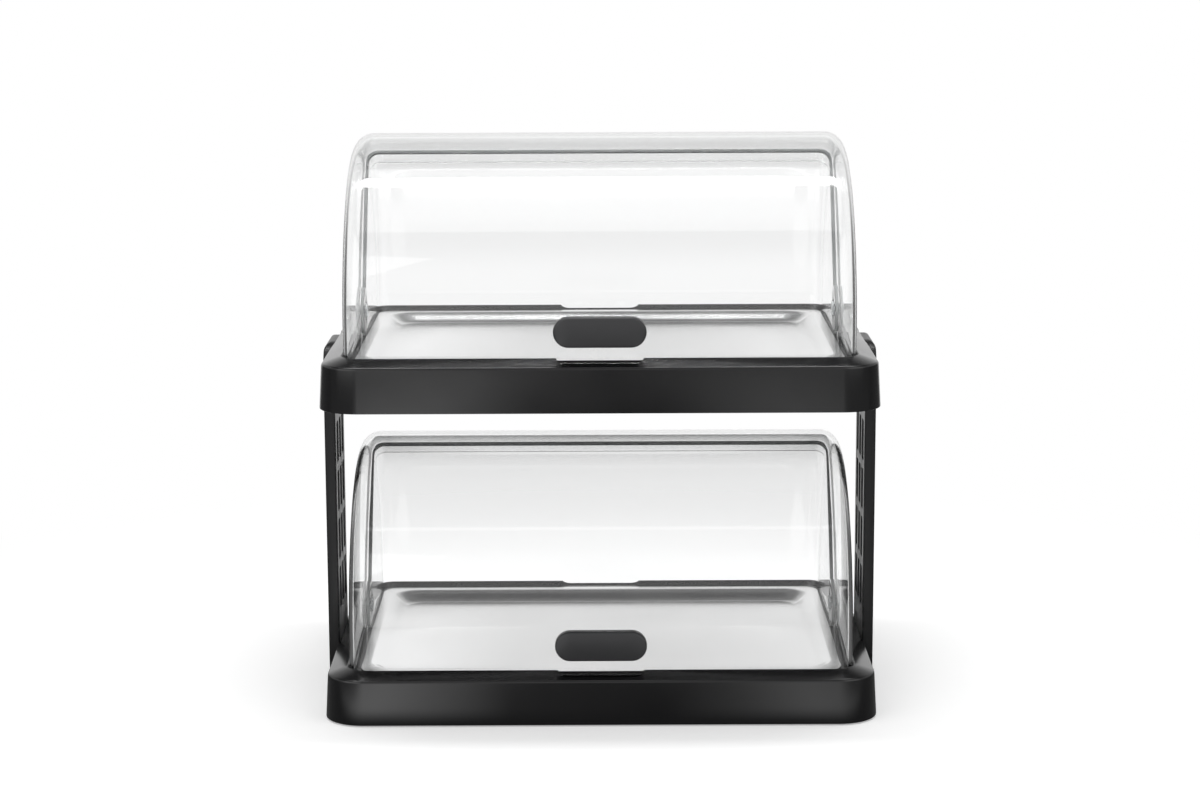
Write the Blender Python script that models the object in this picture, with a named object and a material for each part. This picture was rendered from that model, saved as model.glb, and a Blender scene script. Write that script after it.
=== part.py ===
"""Chilled roll-top display: two cooled trays, one above the other, each under a clear roll-top hood.

X is the width, -Y the front and +Z up. The origin is on the table, under the middle of the object.
"""
import math

import bmesh
import bpy
from mathutils import Matrix, Vector

# Clearances
GAP = 0.0003
OVERRUN = 0.003

# Base moulding
BASE_WIDTH = 0.440
BASE_DEPTH = 0.320
BASE_CORNER_RADIUS = 0.032
BASE_DRAFT = 0.0018
BASE_WALL = 0.003
FLOOR_CLEARANCE = 0.0037
RIM_SIDE_WIDTH = 0.0182
RIM_FRONT_WIDTH = 0.0138
RIM_STEP = 0.0045
RIM_FALL = 0.007
RIM_EDGE_ROUND = 0.0008
SHOULDER_RADIUS = 0.0018
BASIN_DRAFT = 0.002
BASIN_CORNER_RADIUS = 0.018
BASIN_CHAMFER = 0.004

# Finger recess in the front and rear rim
POCKET_WIDTH = 0.068
POCKET_REACH = 0.008
POCKET_DEPTH = 0.007
POCKET_WALL = 0.003

# Feet under the lower base
FOOT_PROUD = 0.001
FOOT_RADIUS = 0.011
FOOT_INSET = 0.068

# Serving tray
TRAY_SHEET = 0.001
TRAY_HOOD_GAP = 0.0011
TRAY_RIM_WIDTH = 0.0085
TRAY_SLOPE_WIDTH = 0.0135
TRAY_SINK = 0.008
TRAY_BEARING = 0.0065
TRAY_CORNER_RADIUS = 0.016
TRAY_SLOPE_CORNER_RADIUS = 0.020
TRAY_FLOOR_CORNER_RADIUS = 0.012

# Cool packs in the basin
COOL_PACK_THICKNESS = 0.022
COOL_PACK_SPACING = 0.003
COOL_PACK_CORNER_RADIUS = 0.014
COOL_PACK_EDGE = 0.003

# Roll-top hood: a shell turned about the pivot line
PIVOT_RAISE = 0.017
HOOD_WALL = 0.003
HOOD_CORNER_RADIUS = 0.016
HOOD_NEST_GAP = 0.001
HOOD_RIM_GAP = 0.0012
EAR_RADIUS = 0.019
FRONT_HOOD_EDGE_ANGLE = math.radians(35)
REAR_HOOD_EDGE_ANGLE = math.radians(25)

# Pivot hardware
PIN_RADIUS = 0.0025
PIN_HEAD_RADIUS = 0.006
PIN_HEAD_THICKNESS = 0.0014
PIN_HEAD_ROUND = 0.0006
BUSH_RADIUS = 0.0042
BUSH_FLANGE_RADIUS = 0.0056
BUSH_FLANGE_THICKNESS = 0.0008
CAP_RADIUS = 0.006
CAP_THICKNESS = 0.0016

# Handle on the front hood
HANDLE_WIDTH = 0.0725
HANDLE_HEIGHT = 0.024
HANDLE_THICKNESS = 0.009
HANDLE_EDGE_ROUND = 0.003
HANDLE_RAISE = 0.0041
HANDLE_NECK_LENGTH = 0.002
HANDLE_NECK_INSET = 0.005
HANDLE_PLATE_INSET = 0.006
HANDLE_PLATE_THICKNESS = 0.0016
HANDLE_SCREW_INSET = 0.017
HANDLE_SCREW_BITE = 0.007

# Lattice side panels
TIER_CLEARANCE = 0.0455
PANEL_THICKNESS = 0.009
PANEL_WIDTH = 0.076
PANEL_FOOT_HEIGHT = 0.0076
PANEL_RISE = 0.0355
PANEL_TOP_RADIUS = 0.022
PANEL_EDGE_RADIUS = 0.0065
PANEL_CORNER_RADIUS = 0.0012
PANEL_FLARE = 0.0007
PANEL_FLARE_HEIGHT = 0.004
PANEL_POST = 0.010
WINDOW_COLUMNS = 3
WINDOW_ROWS = 4
WINDOW_BAR = 0.007
WINDOW_FIRST_SILL = 0.062
WINDOW_HEAD_MARGIN = 0.031
WINDOW_CORNER_RADIUS = 0.003
SHELF_REACH = 0.0048
SHELF_THICKNESS = 0.004
SHELF_INSET = 0.004
PAD_THICKNESS = 0.0045
PAD_MARGIN = 0.006
PAD_RISE = 0.001

# Machine screws
SCREW_RADIUS = 0.002
SCREW_HEAD_RADIUS = 0.004
SCREW_HEAD_THICKNESS = 0.0022
SCREW_HEAD_ROUND = 0.001
SCREW_TIP = 0.0006
PANEL_SCREW_INSET = 0.015
PANEL_SCREW_BITE = 0.006

# Facets
BASE_CORNER_STEPS = 5
CORNER_STEPS = 4
PACK_CORNER_STEPS = 3
EDGE_STEPS = 3
SMALL_STEPS = 2
TOP_STEPS = 8
HOOD_STEP = math.radians(7.5)
TURNED_SIDES = 14
SCREW_SIDES = 12

SIDES = ((-1, "left"), (1, "right"))
ENDS = ((-1, "front"), (1, "rear"))

# Heights in a tier, stacked up from the lower edge of its base
BASIN_FLOOR = FLOOR_CLEARANCE + BASE_WALL
PACK_TOP = BASIN_FLOOR + GAP + COOL_PACK_THICKNESS
TRAY_UNDERSIDE = PACK_TOP + GAP + TRAY_SINK
SEAT_HEIGHT = TRAY_UNDERSIDE - GAP
RIM_HEIGHT = SEAT_HEIGHT + RIM_STEP
SHOULDER_HEIGHT = RIM_HEIGHT - RIM_FALL
PIVOT_HEIGHT = RIM_HEIGHT + PIVOT_RAISE
HOOD_SEAT = SEAT_HEIGHT + GAP - PIVOT_HEIGHT
PANEL_SCREW_HEIGHT = SHOULDER_HEIGHT / 2

# Half sizes in plan, from the rim inwards
RIM_HALF_X = BASE_WIDTH / 2 - RIM_SIDE_WIDTH
RIM_HALF_Y = BASE_DEPTH / 2 - RIM_FRONT_WIDTH
RIM_CORNER_RADIUS = HOOD_CORNER_RADIUS + HOOD_RIM_GAP
HOOD_HALF_WIDTH = RIM_HALF_X - HOOD_RIM_GAP
HOOD_RADIUS = math.hypot(RIM_HALF_Y - HOOD_RIM_GAP, PIVOT_RAISE)
REAR_HOOD_INSET = HOOD_WALL + HOOD_NEST_GAP
REAR_HOOD_HALF_WIDTH = HOOD_HALF_WIDTH - REAR_HOOD_INSET
REAR_HOOD_RADIUS = HOOD_RADIUS - REAR_HOOD_INSET
REAR_HOOD_CORNER_RADIUS = HOOD_CORNER_RADIUS - REAR_HOOD_INSET
TRAY_DROP = PIVOT_HEIGHT - TRAY_UNDERSIDE - TRAY_SHEET
TRAY_HALF_X = REAR_HOOD_HALF_WIDTH - HOOD_WALL - TRAY_HOOD_GAP
TRAY_HALF_Y = math.sqrt((REAR_HOOD_RADIUS - HOOD_WALL) ** 2 - TRAY_DROP ** 2) - TRAY_HOOD_GAP
BASIN_HALF_X = TRAY_HALF_X - TRAY_BEARING
BASIN_HALF_Y = TRAY_HALF_Y - TRAY_BEARING
TIER_PITCH = PIVOT_HEIGHT + HOOD_RADIUS + TIER_CLEARANCE

# Side panels and what they are screwed to
RECESS_FACE = BASE_WIDTH / 2 - BASE_WALL - GAP
PAD_FACE = RECESS_FACE - PAD_THICKNESS
PANEL_FACE = RECESS_FACE + GAP
PANEL_OUTER = PANEL_FACE + PANEL_THICKNESS
PANEL_SCREW_Y = PANEL_WIDTH / 2 - PANEL_SCREW_INSET
WINDOW_COLUMN_PITCH = (PANEL_WIDTH - 2 * PANEL_POST + WINDOW_BAR) / WINDOW_COLUMNS
WINDOW_ROW_PITCH = (TIER_PITCH - WINDOW_FIRST_SILL - WINDOW_HEAD_MARGIN + WINDOW_BAR) / WINDOW_ROWS
HANDLE_SCREW_X = HANDLE_WIDTH / 2 - HANDLE_SCREW_INSET


def clear_scene():
    for old in list(bpy.data.objects):
        bpy.data.objects.remove(old, do_unlink=True)


def make_material(name, colour, roughness, metallic=0.0, transmission=0.0):
    material = bpy.data.materials.new(name)
    material.use_nodes = True
    shader = material.node_tree.nodes["Principled BSDF"]
    shader.inputs["Base Color"].default_value = (*colour, 1.0)
    shader.inputs["Roughness"].default_value = roughness
    shader.inputs["Metallic"].default_value = metallic
    shader.inputs["Transmission Weight"].default_value = transmission
    return material


def make_materials():
    return {
        "base": make_material("black_base", (0.018, 0.018, 0.020), 0.42),
        "panel": make_material("black_panel", (0.022, 0.022, 0.024), 0.5),
        "handle": make_material("black_handle", (0.03, 0.03, 0.033), 0.45),
        "hood": make_material("clear_hood", (0.95, 0.97, 0.98), 0.04, transmission=1.0),
        "pivot": make_material("translucent_pivot", (0.80, 0.82, 0.84), 0.25, transmission=0.6),
        "tray": make_material("stainless_tray", (0.78, 0.78, 0.79), 0.28, metallic=1.0),
        "pack": make_material("cool_pack", (0.42, 0.62, 0.82), 0.4),
        "screw": make_material("screw_steel", (0.55, 0.55, 0.56), 0.3, metallic=1.0),
        "foot": make_material("foot_rubber", (0.03, 0.03, 0.03), 0.8),
    }


def add_skin(bm, rings, closed=False):
    """Faces between neighbouring rings. Both ends are capped, or the last ring joins the first."""
    loops = [[bm.verts.new(point) for point in ring] for ring in rings]
    pairs = list(zip(loops, loops[1:]))
    if closed:
        pairs.append((loops[-1], loops[0]))
    else:
        bm.faces.new(reversed(loops[0]))
        bm.faces.new(loops[-1])
    for first, second in pairs:
        for index, vertex in enumerate(first):
            following = (index + 1) % len(first)
            bm.faces.new((vertex, first[following], second[following], second[index]))


def make_object(name, bm, material=None, parent=None, location=(0, 0, 0), rotation=(0, 0, 0)):
    bmesh.ops.recalc_face_normals(bm, faces=bm.faces)
    mesh = bpy.data.meshes.new(name)
    bm.to_mesh(mesh)
    bm.free()
    mesh.shade_smooth()
    mesh.set_sharp_from_angle(angle=math.radians(32))
    piece = bpy.data.objects.new(name, mesh)
    bpy.context.scene.collection.objects.link(piece)
    if material:
        mesh.materials.append(material)
    piece.parent = parent
    piece.location = location
    piece.rotation_euler = rotation
    return piece


def make_solid(name, shapes, **placing):
    """One object from one or more lists of rings, each a solid with capped ends."""
    bm = bmesh.new()
    for rings in shapes:
        add_skin(bm, rings)
    return make_object(name, bm, **placing)


def make_empty(name, parent, location):
    empty = bpy.data.objects.new(name, None)
    bpy.context.scene.collection.objects.link(empty)
    empty.parent = parent
    empty.location = location
    return empty


def combine(target, tool, operation):
    """Joins a helper solid to a piece, or cuts it out of the piece."""
    modifier = target.modifiers.new(tool.name, "BOOLEAN")
    modifier.operation = operation
    modifier.solver = "EXACT"
    modifier.object = tool
    tool.hide_render = True
    tool.display_type = "WIRE"


def rounded_rectangle(half_x, half_y, radius, z, steps=CORNER_STEPS):
    """Outline of a rounded rectangle at height z, anticlockwise from its +X side."""
    outline = []
    for corner in range(4):
        side_x = 1 if corner in (0, 3) else -1
        side_y = 1 if corner in (0, 1) else -1
        for step in range(steps + 1):
            angle = math.pi / 2 * (corner + step / steps)
            x = side_x * (half_x - radius) + radius * math.cos(angle)
            y = side_y * (half_y - radius) + radius * math.sin(angle)
            outline.append(Vector((x, y, z)))
    return outline


def box_rings(low, high):
    """A plain block between two corners."""
    corners = ((low[0], low[1]), (high[0], low[1]), (high[0], high[1]), (low[0], high[1]))
    return [[Vector((x, y, z)) for x, y in corners] for z in (low[2], high[2])]


def circle(radius, z, sides=TURNED_SIDES):
    angles = [2 * math.pi * index / sides for index in range(sides)]
    return [Vector((radius * math.cos(angle), radius * math.sin(angle), z)) for angle in angles]


def moved(rings, matrix):
    return [[matrix @ point for point in ring] for ring in rings]


def along_x(side):
    """Turns local +Z to point outwards along X on the given side."""
    return Matrix.Rotation(side * math.pi / 2, 4, "Y")


def base_rings():
    """Rings of the base shell, from the basin floor over the rim to the skirt and back underneath."""
    outer_x, outer_y = BASE_WIDTH / 2, BASE_DEPTH / 2
    shoulder_x, shoulder_y = outer_x - BASE_DRAFT, outer_y - BASE_DRAFT
    shoulder_corner = BASE_CORNER_RADIUS - BASE_DRAFT
    floor_x, floor_y = BASIN_HALF_X - BASIN_DRAFT, BASIN_HALF_Y - BASIN_DRAFT
    floor_corner = BASIN_CORNER_RADIUS - BASIN_DRAFT

    def ring(half_x, half_y, radius, z):
        return rounded_rectangle(half_x, half_y, radius, z, BASE_CORNER_STEPS)

    rings = [
        ring(floor_x - BASIN_CHAMFER, floor_y - BASIN_CHAMFER, floor_corner - BASIN_CHAMFER, BASIN_FLOOR),
        ring(floor_x, floor_y, floor_corner, BASIN_FLOOR + BASIN_CHAMFER),
        ring(BASIN_HALF_X, BASIN_HALF_Y, BASIN_CORNER_RADIUS, SEAT_HEIGHT),
        ring(RIM_HALF_X, RIM_HALF_Y, RIM_CORNER_RADIUS, SEAT_HEIGHT),
        ring(RIM_HALF_X, RIM_HALF_Y, RIM_CORNER_RADIUS, RIM_HEIGHT - RIM_EDGE_ROUND),
        ring(RIM_HALF_X + RIM_EDGE_ROUND, RIM_HALF_Y + RIM_EDGE_ROUND,
             RIM_CORNER_RADIUS + RIM_EDGE_ROUND, RIM_HEIGHT),
    ]
    for step in range(EDGE_STEPS + 1):
        angle = math.pi / 2 * (1 - step / EDGE_STEPS)
        inset = SHOULDER_RADIUS * (1 - math.cos(angle))
        rise = SHOULDER_RADIUS * math.sin(angle)
        rings.append(ring(shoulder_x - inset, shoulder_y - inset, shoulder_corner - inset,
                          SHOULDER_HEIGHT + rise))
    inner_x, inner_y = RIM_HALF_X + BASE_WALL, RIM_HALF_Y + BASE_WALL
    under_seat = SEAT_HEIGHT - BASE_WALL
    rings += [
        ring(outer_x, outer_y, BASE_CORNER_RADIUS, 0),
        ring(outer_x - BASE_WALL, outer_y - BASE_WALL, BASE_CORNER_RADIUS - BASE_WALL, 0),
        ring(shoulder_x - BASE_WALL, shoulder_y - BASE_WALL, shoulder_corner - BASE_WALL,
             SHOULDER_HEIGHT - BASE_WALL / 2),
        ring(inner_x, inner_y, RIM_CORNER_RADIUS + BASE_WALL, under_seat + BASE_WALL),
        ring(inner_x, inner_y, RIM_CORNER_RADIUS + BASE_WALL, under_seat),
        ring(BASIN_HALF_X + BASE_WALL, BASIN_HALF_Y + BASE_WALL, BASIN_CORNER_RADIUS + BASE_WALL, under_seat),
        ring(floor_x + BASE_WALL, floor_y + BASE_WALL, floor_corner + BASE_WALL,
             BASIN_FLOOR + BASIN_CHAMFER - BASE_WALL),
        ring(floor_x - BASIN_CHAMFER + BASE_WALL, floor_y - BASIN_CHAMFER + BASE_WALL,
             floor_corner - BASIN_CHAMFER + BASE_WALL, BASIN_FLOOR - BASE_WALL),
    ]
    return rings


def pocket_pad(side):
    """Backing under a finger recess: a bar whose section follows the sloping rim."""
    foot = RIM_HEIGHT - POCKET_DEPTH - POCKET_WALL
    inner = RIM_HALF_Y + BASE_WALL / 6
    outer = RIM_HALF_Y + POCKET_REACH + POCKET_WALL / 2
    section = (
        (inner, foot),
        (outer, foot),
        (outer, SHOULDER_HEIGHT + SHOULDER_RADIUS / 2),
        (RIM_HALF_Y + BASE_WALL * 2 / 3, RIM_HEIGHT - BASE_WALL),
        (inner, SEAT_HEIGHT - BASE_WALL / 2),
    )
    half_width = POCKET_WIDTH / 2 + POCKET_WALL
    return [[Vector((x, side * y, z)) for y, z in section] for x in (-half_width, half_width)]


def pocket_cut(side):
    """A finger recess: half of a pill seen from above, open to the seat."""
    floor = RIM_HEIGHT - POCKET_DEPTH
    rings = []
    for z in (floor, RIM_HEIGHT + OVERRUN):
        outline = [Vector((POCKET_WIDTH / 2, RIM_HALF_Y - GAP, z))]
        for step in range(2 * CORNER_STEPS + 1):
            angle = math.pi * step / (2 * CORNER_STEPS)
            centre = math.copysign(POCKET_WIDTH / 2 - POCKET_REACH, math.cos(angle))
            outline.append(Vector((centre + POCKET_REACH * math.cos(angle),
                                   RIM_HALF_Y + POCKET_REACH * math.sin(angle), z)))
        outline.append(Vector((-POCKET_WIDTH / 2, RIM_HALF_Y - GAP, z)))
        rings.append([Vector((point.x, side * point.y, z)) for point in outline])
    return rings


def panel_pad(side):
    """Backing block inside the skirt, where a side panel is screwed on."""
    half_y = PANEL_WIDTH / 2 + PAD_MARGIN
    reach = BASE_WIDTH / 2 - BASE_WALL / 2 - BASE_DRAFT / 3
    x_low, x_high = sorted((side * PAD_FACE, side * reach))
    return box_rings((x_low, -half_y, PAD_RISE), (x_high, half_y, SHOULDER_HEIGHT - BASE_WALL / 2))


def panel_recess(side, foot):
    half_y = PANEL_WIDTH / 2 + GAP
    x_low, x_high = sorted((side * RECESS_FACE, side * (BASE_WIDTH / 2 + OVERRUN)))
    return box_rings((x_low, -half_y, foot), (x_high, half_y, RIM_HEIGHT + OVERRUN))


def screw_hole(low, high):
    """A round cutter along +Z with clearance round a screw's shank."""
    return [circle(SCREW_RADIUS + GAP, z, SCREW_SIDES) for z in (low, high)]


def panel_screw_holes(sides, heights, low, high):
    """Cutters along X at the panel screws of the given sides and heights."""
    holes = []
    for side in sides:
        for height in heights:
            for y in (-PANEL_SCREW_Y, PANEL_SCREW_Y):
                place = Matrix.Translation((0, y, height)) @ along_x(side)
                holes.append(moved(screw_hole(low, high), place))
    return holes


def make_base(tier, parent, material, recess_foot):
    base = make_solid(f"{tier}_base", [base_rings()], material=material, parent=parent)
    pads = [pocket_pad(side) for side in (-1, 1)] + [panel_pad(side) for side in (-1, 1)]
    combine(base, make_solid(f"{tier}_base_pads", pads, parent=parent), "UNION")
    pockets = [pocket_cut(side) for side in (-1, 1)]
    combine(base, make_solid(f"{tier}_pocket_cuts", pockets, parent=parent), "DIFFERENCE")
    recesses = [panel_recess(side, recess_foot) for side in (-1, 1)]
    combine(base, make_solid(f"{tier}_recess_cuts", recesses, parent=parent), "DIFFERENCE")
    holes = panel_screw_holes((-1, 1), [PANEL_SCREW_HEIGHT], PAD_FACE - OVERRUN, BASE_WIDTH / 2 + OVERRUN)
    combine(base, make_solid(f"{tier}_screw_cuts", holes, parent=parent), "DIFFERENCE")


def make_tray(tier, parent, material):
    """Pressed tray: a flat rim that bears on the seat, a sloping side and a flat floor."""
    top = TRAY_UNDERSIDE + TRAY_SHEET
    slope_x, slope_y = TRAY_HALF_X - TRAY_RIM_WIDTH, TRAY_HALF_Y - TRAY_RIM_WIDTH
    floor_x, floor_y = slope_x - TRAY_SLOPE_WIDTH, slope_y - TRAY_SLOPE_WIDTH
    rings = [
        rounded_rectangle(floor_x, floor_y, TRAY_FLOOR_CORNER_RADIUS, top - TRAY_SINK),
        rounded_rectangle(slope_x, slope_y, TRAY_SLOPE_CORNER_RADIUS, top),
        rounded_rectangle(TRAY_HALF_X, TRAY_HALF_Y, TRAY_CORNER_RADIUS, top),
        rounded_rectangle(TRAY_HALF_X, TRAY_HALF_Y, TRAY_CORNER_RADIUS, TRAY_UNDERSIDE),
        rounded_rectangle(slope_x, slope_y, TRAY_SLOPE_CORNER_RADIUS, TRAY_UNDERSIDE),
        rounded_rectangle(floor_x, floor_y, TRAY_FLOOR_CORNER_RADIUS, TRAY_UNDERSIDE - TRAY_SINK),
    ]
    make_solid(f"{tier}_tray", [rings], material=material, parent=parent)


def make_cool_packs(tier, parent, material):
    """Two flat packs side by side in the basin, under the tray."""
    floor_x = BASIN_HALF_X - BASIN_DRAFT
    half_x = (floor_x - COOL_PACK_SPACING - COOL_PACK_SPACING / 2) / 2
    half_y = BASIN_HALF_Y - BASIN_DRAFT - COOL_PACK_SPACING
    low = BASIN_FLOOR + GAP
    inner = (half_x - COOL_PACK_EDGE, half_y - COOL_PACK_EDGE, COOL_PACK_CORNER_RADIUS - COOL_PACK_EDGE)
    outer = (half_x, half_y, COOL_PACK_CORNER_RADIUS)
    rings = [
        rounded_rectangle(*inner, low, PACK_CORNER_STEPS),
        rounded_rectangle(*outer, low + COOL_PACK_EDGE, PACK_CORNER_STEPS),
        rounded_rectangle(*outer, PACK_TOP - COOL_PACK_EDGE, PACK_CORNER_STEPS),
        rounded_rectangle(*inner, PACK_TOP, PACK_CORNER_STEPS),
    ]
    for side, word in SIDES:
        place = (side * (half_x + COOL_PACK_SPACING / 2), 0, 0)
        make_solid(f"{tier}_cool_pack_{word}", [rings], material=material, parent=parent, location=place)


def hood_stations(half_width, radius, corner, bore):
    """Stations across the shell from hub to hub: (x, r) on the outer skin and on the inner skin."""
    half = []
    for r in (bore, EAR_RADIUS):
        half.append(((half_width, r), (half_width - HOOD_WALL, r)))
    for step in range(CORNER_STEPS + 1):
        angle = math.pi / 2 * step / CORNER_STEPS
        centre_x, centre_r = half_width - corner, radius - corner
        inner = corner - HOOD_WALL
        half.append(((centre_x + corner * math.cos(angle), centre_r + corner * math.sin(angle)),
                     (centre_x + inner * math.cos(angle), centre_r + inner * math.sin(angle))))
    mirrored = [tuple((-x, r) for x, r in station) for station in half]
    return mirrored + half[::-1]


def hood_angles(first, last):
    """Angles round the whole circle. The shell fills those from first to last, the ears all of them."""
    shell_steps = math.ceil((last - first) / HOOD_STEP)
    rest = 2 * math.pi - (last - first)
    rest_steps = math.ceil(rest / HOOD_STEP)
    shell = [first + (last - first) * step / shell_steps for step in range(shell_steps)]
    behind = [last + rest * step / rest_steps for step in range(rest_steps)]
    return shell + behind, shell_steps


def make_hood(name, parent, material, half_width, radius, corner, bore, first, last):
    """A shell turned about the pivot line, with a round ear at each end and a flat lower edge.

    Angles run from straight up towards the rear.
    """
    stations = hood_stations(half_width, radius, corner, bore)
    angles, shell_steps = hood_angles(first, last)
    bm = bmesh.new()

    def skin_vertex(x, r, angle):
        return bm.verts.new((x, r * math.sin(angle), r * math.cos(angle)))

    last_strip = len(stations) - 2

    def present(strip, step):
        on_ear = strip in (0, last_strip)
        return 0 <= strip <= last_strip and (on_ear or step < shell_steps)

    skins = {}

    def vertex(station, step, skin):
        key = (station, step % len(angles), skin)
        if key not in skins:
            skins[key] = skin_vertex(*stations[station][skin], angles[key[1]])
        return skins[key]

    for strip in range(last_strip + 1):
        for step in range(len(angles)):
            if not present(strip, step):
                continue
            corners = ((strip, step), (strip + 1, step), (strip + 1, step + 1), (strip, step + 1))
            for skin in (0, 1):
                bm.faces.new([vertex(*place, skin) for place in corners])
            before, after = (step - 1) % len(angles), (step + 1) % len(angles)
            neighbours = ((strip, before), (strip + 1, step), (strip, after), (strip - 1, step))
            for index, neighbour in enumerate(neighbours):
                if not present(*neighbour):
                    start, end = corners[index], corners[(index + 1) % 4]
                    bm.faces.new((vertex(*start, 0), vertex(*end, 0), vertex(*end, 1), vertex(*start, 1)))

    everything = bm.verts[:] + bm.edges[:] + bm.faces[:]
    bmesh.ops.bisect_plane(bm, geom=everything, plane_co=(0, 0, HOOD_SEAT), plane_no=(0, 0, 1),
                           clear_inner=True)
    bmesh.ops.holes_fill(bm, edges=[edge for edge in bm.edges if edge.is_boundary])
    return make_object(name, bm, material=material, parent=parent)


def make_front_hood(tier, pivot, material):
    hood = make_hood(f"{tier}_front_hood", pivot, material, HOOD_HALF_WIDTH, HOOD_RADIUS,
                     HOOD_CORNER_RADIUS, BUSH_RADIUS + GAP, -math.pi, FRONT_HOOD_EDGE_ANGLE)
    holes = []
    for x in (-HANDLE_SCREW_X, HANDLE_SCREW_X):
        hole = screw_hole(HOOD_RADIUS - HOOD_WALL - OVERRUN, HOOD_RADIUS + OVERRUN)
        holes.append(moved(hole, handle_place(x)))
    combine(hood, make_solid(f"{tier}_handle_screw_cuts", holes, parent=pivot), "DIFFERENCE")


def make_rear_hood(tier, pivot, material):
    make_hood(f"{tier}_rear_hood", pivot, material, REAR_HOOD_HALF_WIDTH, REAR_HOOD_RADIUS,
              REAR_HOOD_CORNER_RADIUS, PIN_RADIUS + GAP, REAR_HOOD_EDGE_ANGLE, math.pi)


def handle_place(x):
    """From the handle's own frame, whose +Z is forward from the pivot line, to the pivot's frame."""
    return Matrix.Translation((x, 0, HANDLE_RAISE)) @ Matrix.Rotation(math.pi / 2, 4, "X")


def pill(half_x, half_y, z):
    return rounded_rectangle(half_x, half_y, half_y * 0.999, z)


def handle_body_rings():
    """Bare pill-shaped grip with a rounded edge, on a narrower neck."""
    half_x, half_y = HANDLE_WIDTH / 2, HANDLE_HEIGHT / 2
    neck_x, neck_y = half_x - HANDLE_NECK_INSET, half_y - HANDLE_NECK_INSET
    back = HOOD_RADIUS + GAP
    face = back + HANDLE_NECK_LENGTH
    front = face + HANDLE_THICKNESS
    rings = [
        pill(neck_x, neck_y, back),
        pill(neck_x, neck_y, face),
        pill(half_x, half_y, face),
        pill(half_x, half_y, front - HANDLE_EDGE_ROUND),
    ]
    for step in range(1, EDGE_STEPS + 1):
        angle = math.pi / 2 * step / EDGE_STEPS
        inset = HANDLE_EDGE_ROUND * (1 - math.cos(angle))
        rings.append(pill(half_x - inset, half_y - inset,
                          front - HANDLE_EDGE_ROUND * (1 - math.sin(angle))))
    return rings


def make_handle(tier, pivot, handle_material, screw_material):
    place = handle_place(0)
    handle = make_solid(f"{tier}_handle", [moved(handle_body_rings(), place)],
                        material=handle_material, parent=pivot)
    plate_half_y = HANDLE_HEIGHT / 2 - HANDLE_PLATE_INSET
    plate_half_x = HANDLE_WIDTH / 2 - HANDLE_PLATE_INSET
    inner_radius = HOOD_RADIUS - HOOD_WALL
    facet = inner_radius * (1 - math.cos(HOOD_STEP / 2))
    plate_front = math.sqrt(inner_radius ** 2 - (HANDLE_RAISE + plate_half_y) ** 2) - facet - GAP
    plate_back = plate_front - HANDLE_PLATE_THICKNESS
    plate = make_solid(
        f"{tier}_handle_plate",
        [moved([pill(plate_half_x, plate_half_y, plate_back), pill(plate_half_x, plate_half_y, plate_front)],
               place)],
        material=handle_material, parent=pivot)

    head_top = plate_back - GAP
    tip = HOOD_RADIUS + HANDLE_SCREW_BITE
    holes = []
    for side, word in SIDES:
        place = handle_place(side * HANDLE_SCREW_X)
        holes.append(moved(screw_hole(head_top - OVERRUN, tip + GAP), place))
        make_solid(f"{tier}_handle_screw_{word}", [moved(screw_rings(head_top, tip), place)],
                   material=screw_material, parent=pivot)
    cuts = make_solid(f"{tier}_handle_cuts", holes, parent=pivot)
    combine(handle, cuts, "DIFFERENCE")
    combine(plate, cuts, "DIFFERENCE")


def screw_rings(head_top, tip):
    """A pan-head screw along +Z. Its head ends at head_top and its shank at tip."""
    return [
        circle(SCREW_HEAD_RADIUS - SCREW_HEAD_ROUND, head_top - SCREW_HEAD_THICKNESS, SCREW_SIDES),
        circle(SCREW_HEAD_RADIUS, head_top - SCREW_HEAD_THICKNESS + SCREW_HEAD_ROUND, SCREW_SIDES),
        circle(SCREW_HEAD_RADIUS, head_top, SCREW_SIDES),
        circle(SCREW_RADIUS, head_top, SCREW_SIDES),
        circle(SCREW_RADIUS, tip - SCREW_TIP, SCREW_SIDES),
        circle(SCREW_RADIUS - SCREW_TIP, tip, SCREW_SIDES),
    ]


def make_pivots(tier, pivot, material):
    """Each side has a headed pin through both hoods, a flanged bush on it and a cap inside."""
    flange_low = HOOD_HALF_WIDTH + GAP
    flange_high = flange_low + BUSH_FLANGE_THICKNESS
    head_low = flange_high + GAP
    head_high = head_low + PIN_HEAD_THICKNESS
    cap_high = REAR_HOOD_HALF_WIDTH - HOOD_WALL - GAP
    cap_low = cap_high - CAP_THICKNESS
    sleeve_low = REAR_HOOD_HALF_WIDTH + GAP
    bore = PIN_RADIUS + GAP
    for side, word in SIDES:
        turn = (0, side * math.pi / 2, 0)
        pin = [
            circle(PIN_RADIUS, cap_low),
            circle(PIN_RADIUS, head_low),
            circle(PIN_HEAD_RADIUS, head_low),
            circle(PIN_HEAD_RADIUS, head_high - PIN_HEAD_ROUND),
            circle(PIN_HEAD_RADIUS - PIN_HEAD_ROUND, head_high),
        ]
        make_solid(f"{tier}_pivot_pin_{word}", [pin], material=material, parent=pivot, rotation=turn)
        bush = bmesh.new()
        add_skin(bush, [
            circle(bore, sleeve_low),
            circle(BUSH_RADIUS, sleeve_low),
            circle(BUSH_RADIUS, flange_low),
            circle(BUSH_FLANGE_RADIUS, flange_low),
            circle(BUSH_FLANGE_RADIUS, flange_high),
            circle(bore, flange_high),
        ], closed=True)
        make_object(f"{tier}_pivot_bush_{word}", bush, material=material, parent=pivot, rotation=turn)
        cap = bmesh.new()
        add_skin(cap, [
            circle(bore, cap_low),
            circle(CAP_RADIUS - PIN_HEAD_ROUND, cap_low),
            circle(CAP_RADIUS, cap_low + PIN_HEAD_ROUND),
            circle(CAP_RADIUS, cap_high),
            circle(bore, cap_high),
        ], closed=True)
        make_object(f"{tier}_pivot_cap_{word}", cap, material=material, parent=pivot, rotation=turn)


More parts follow.
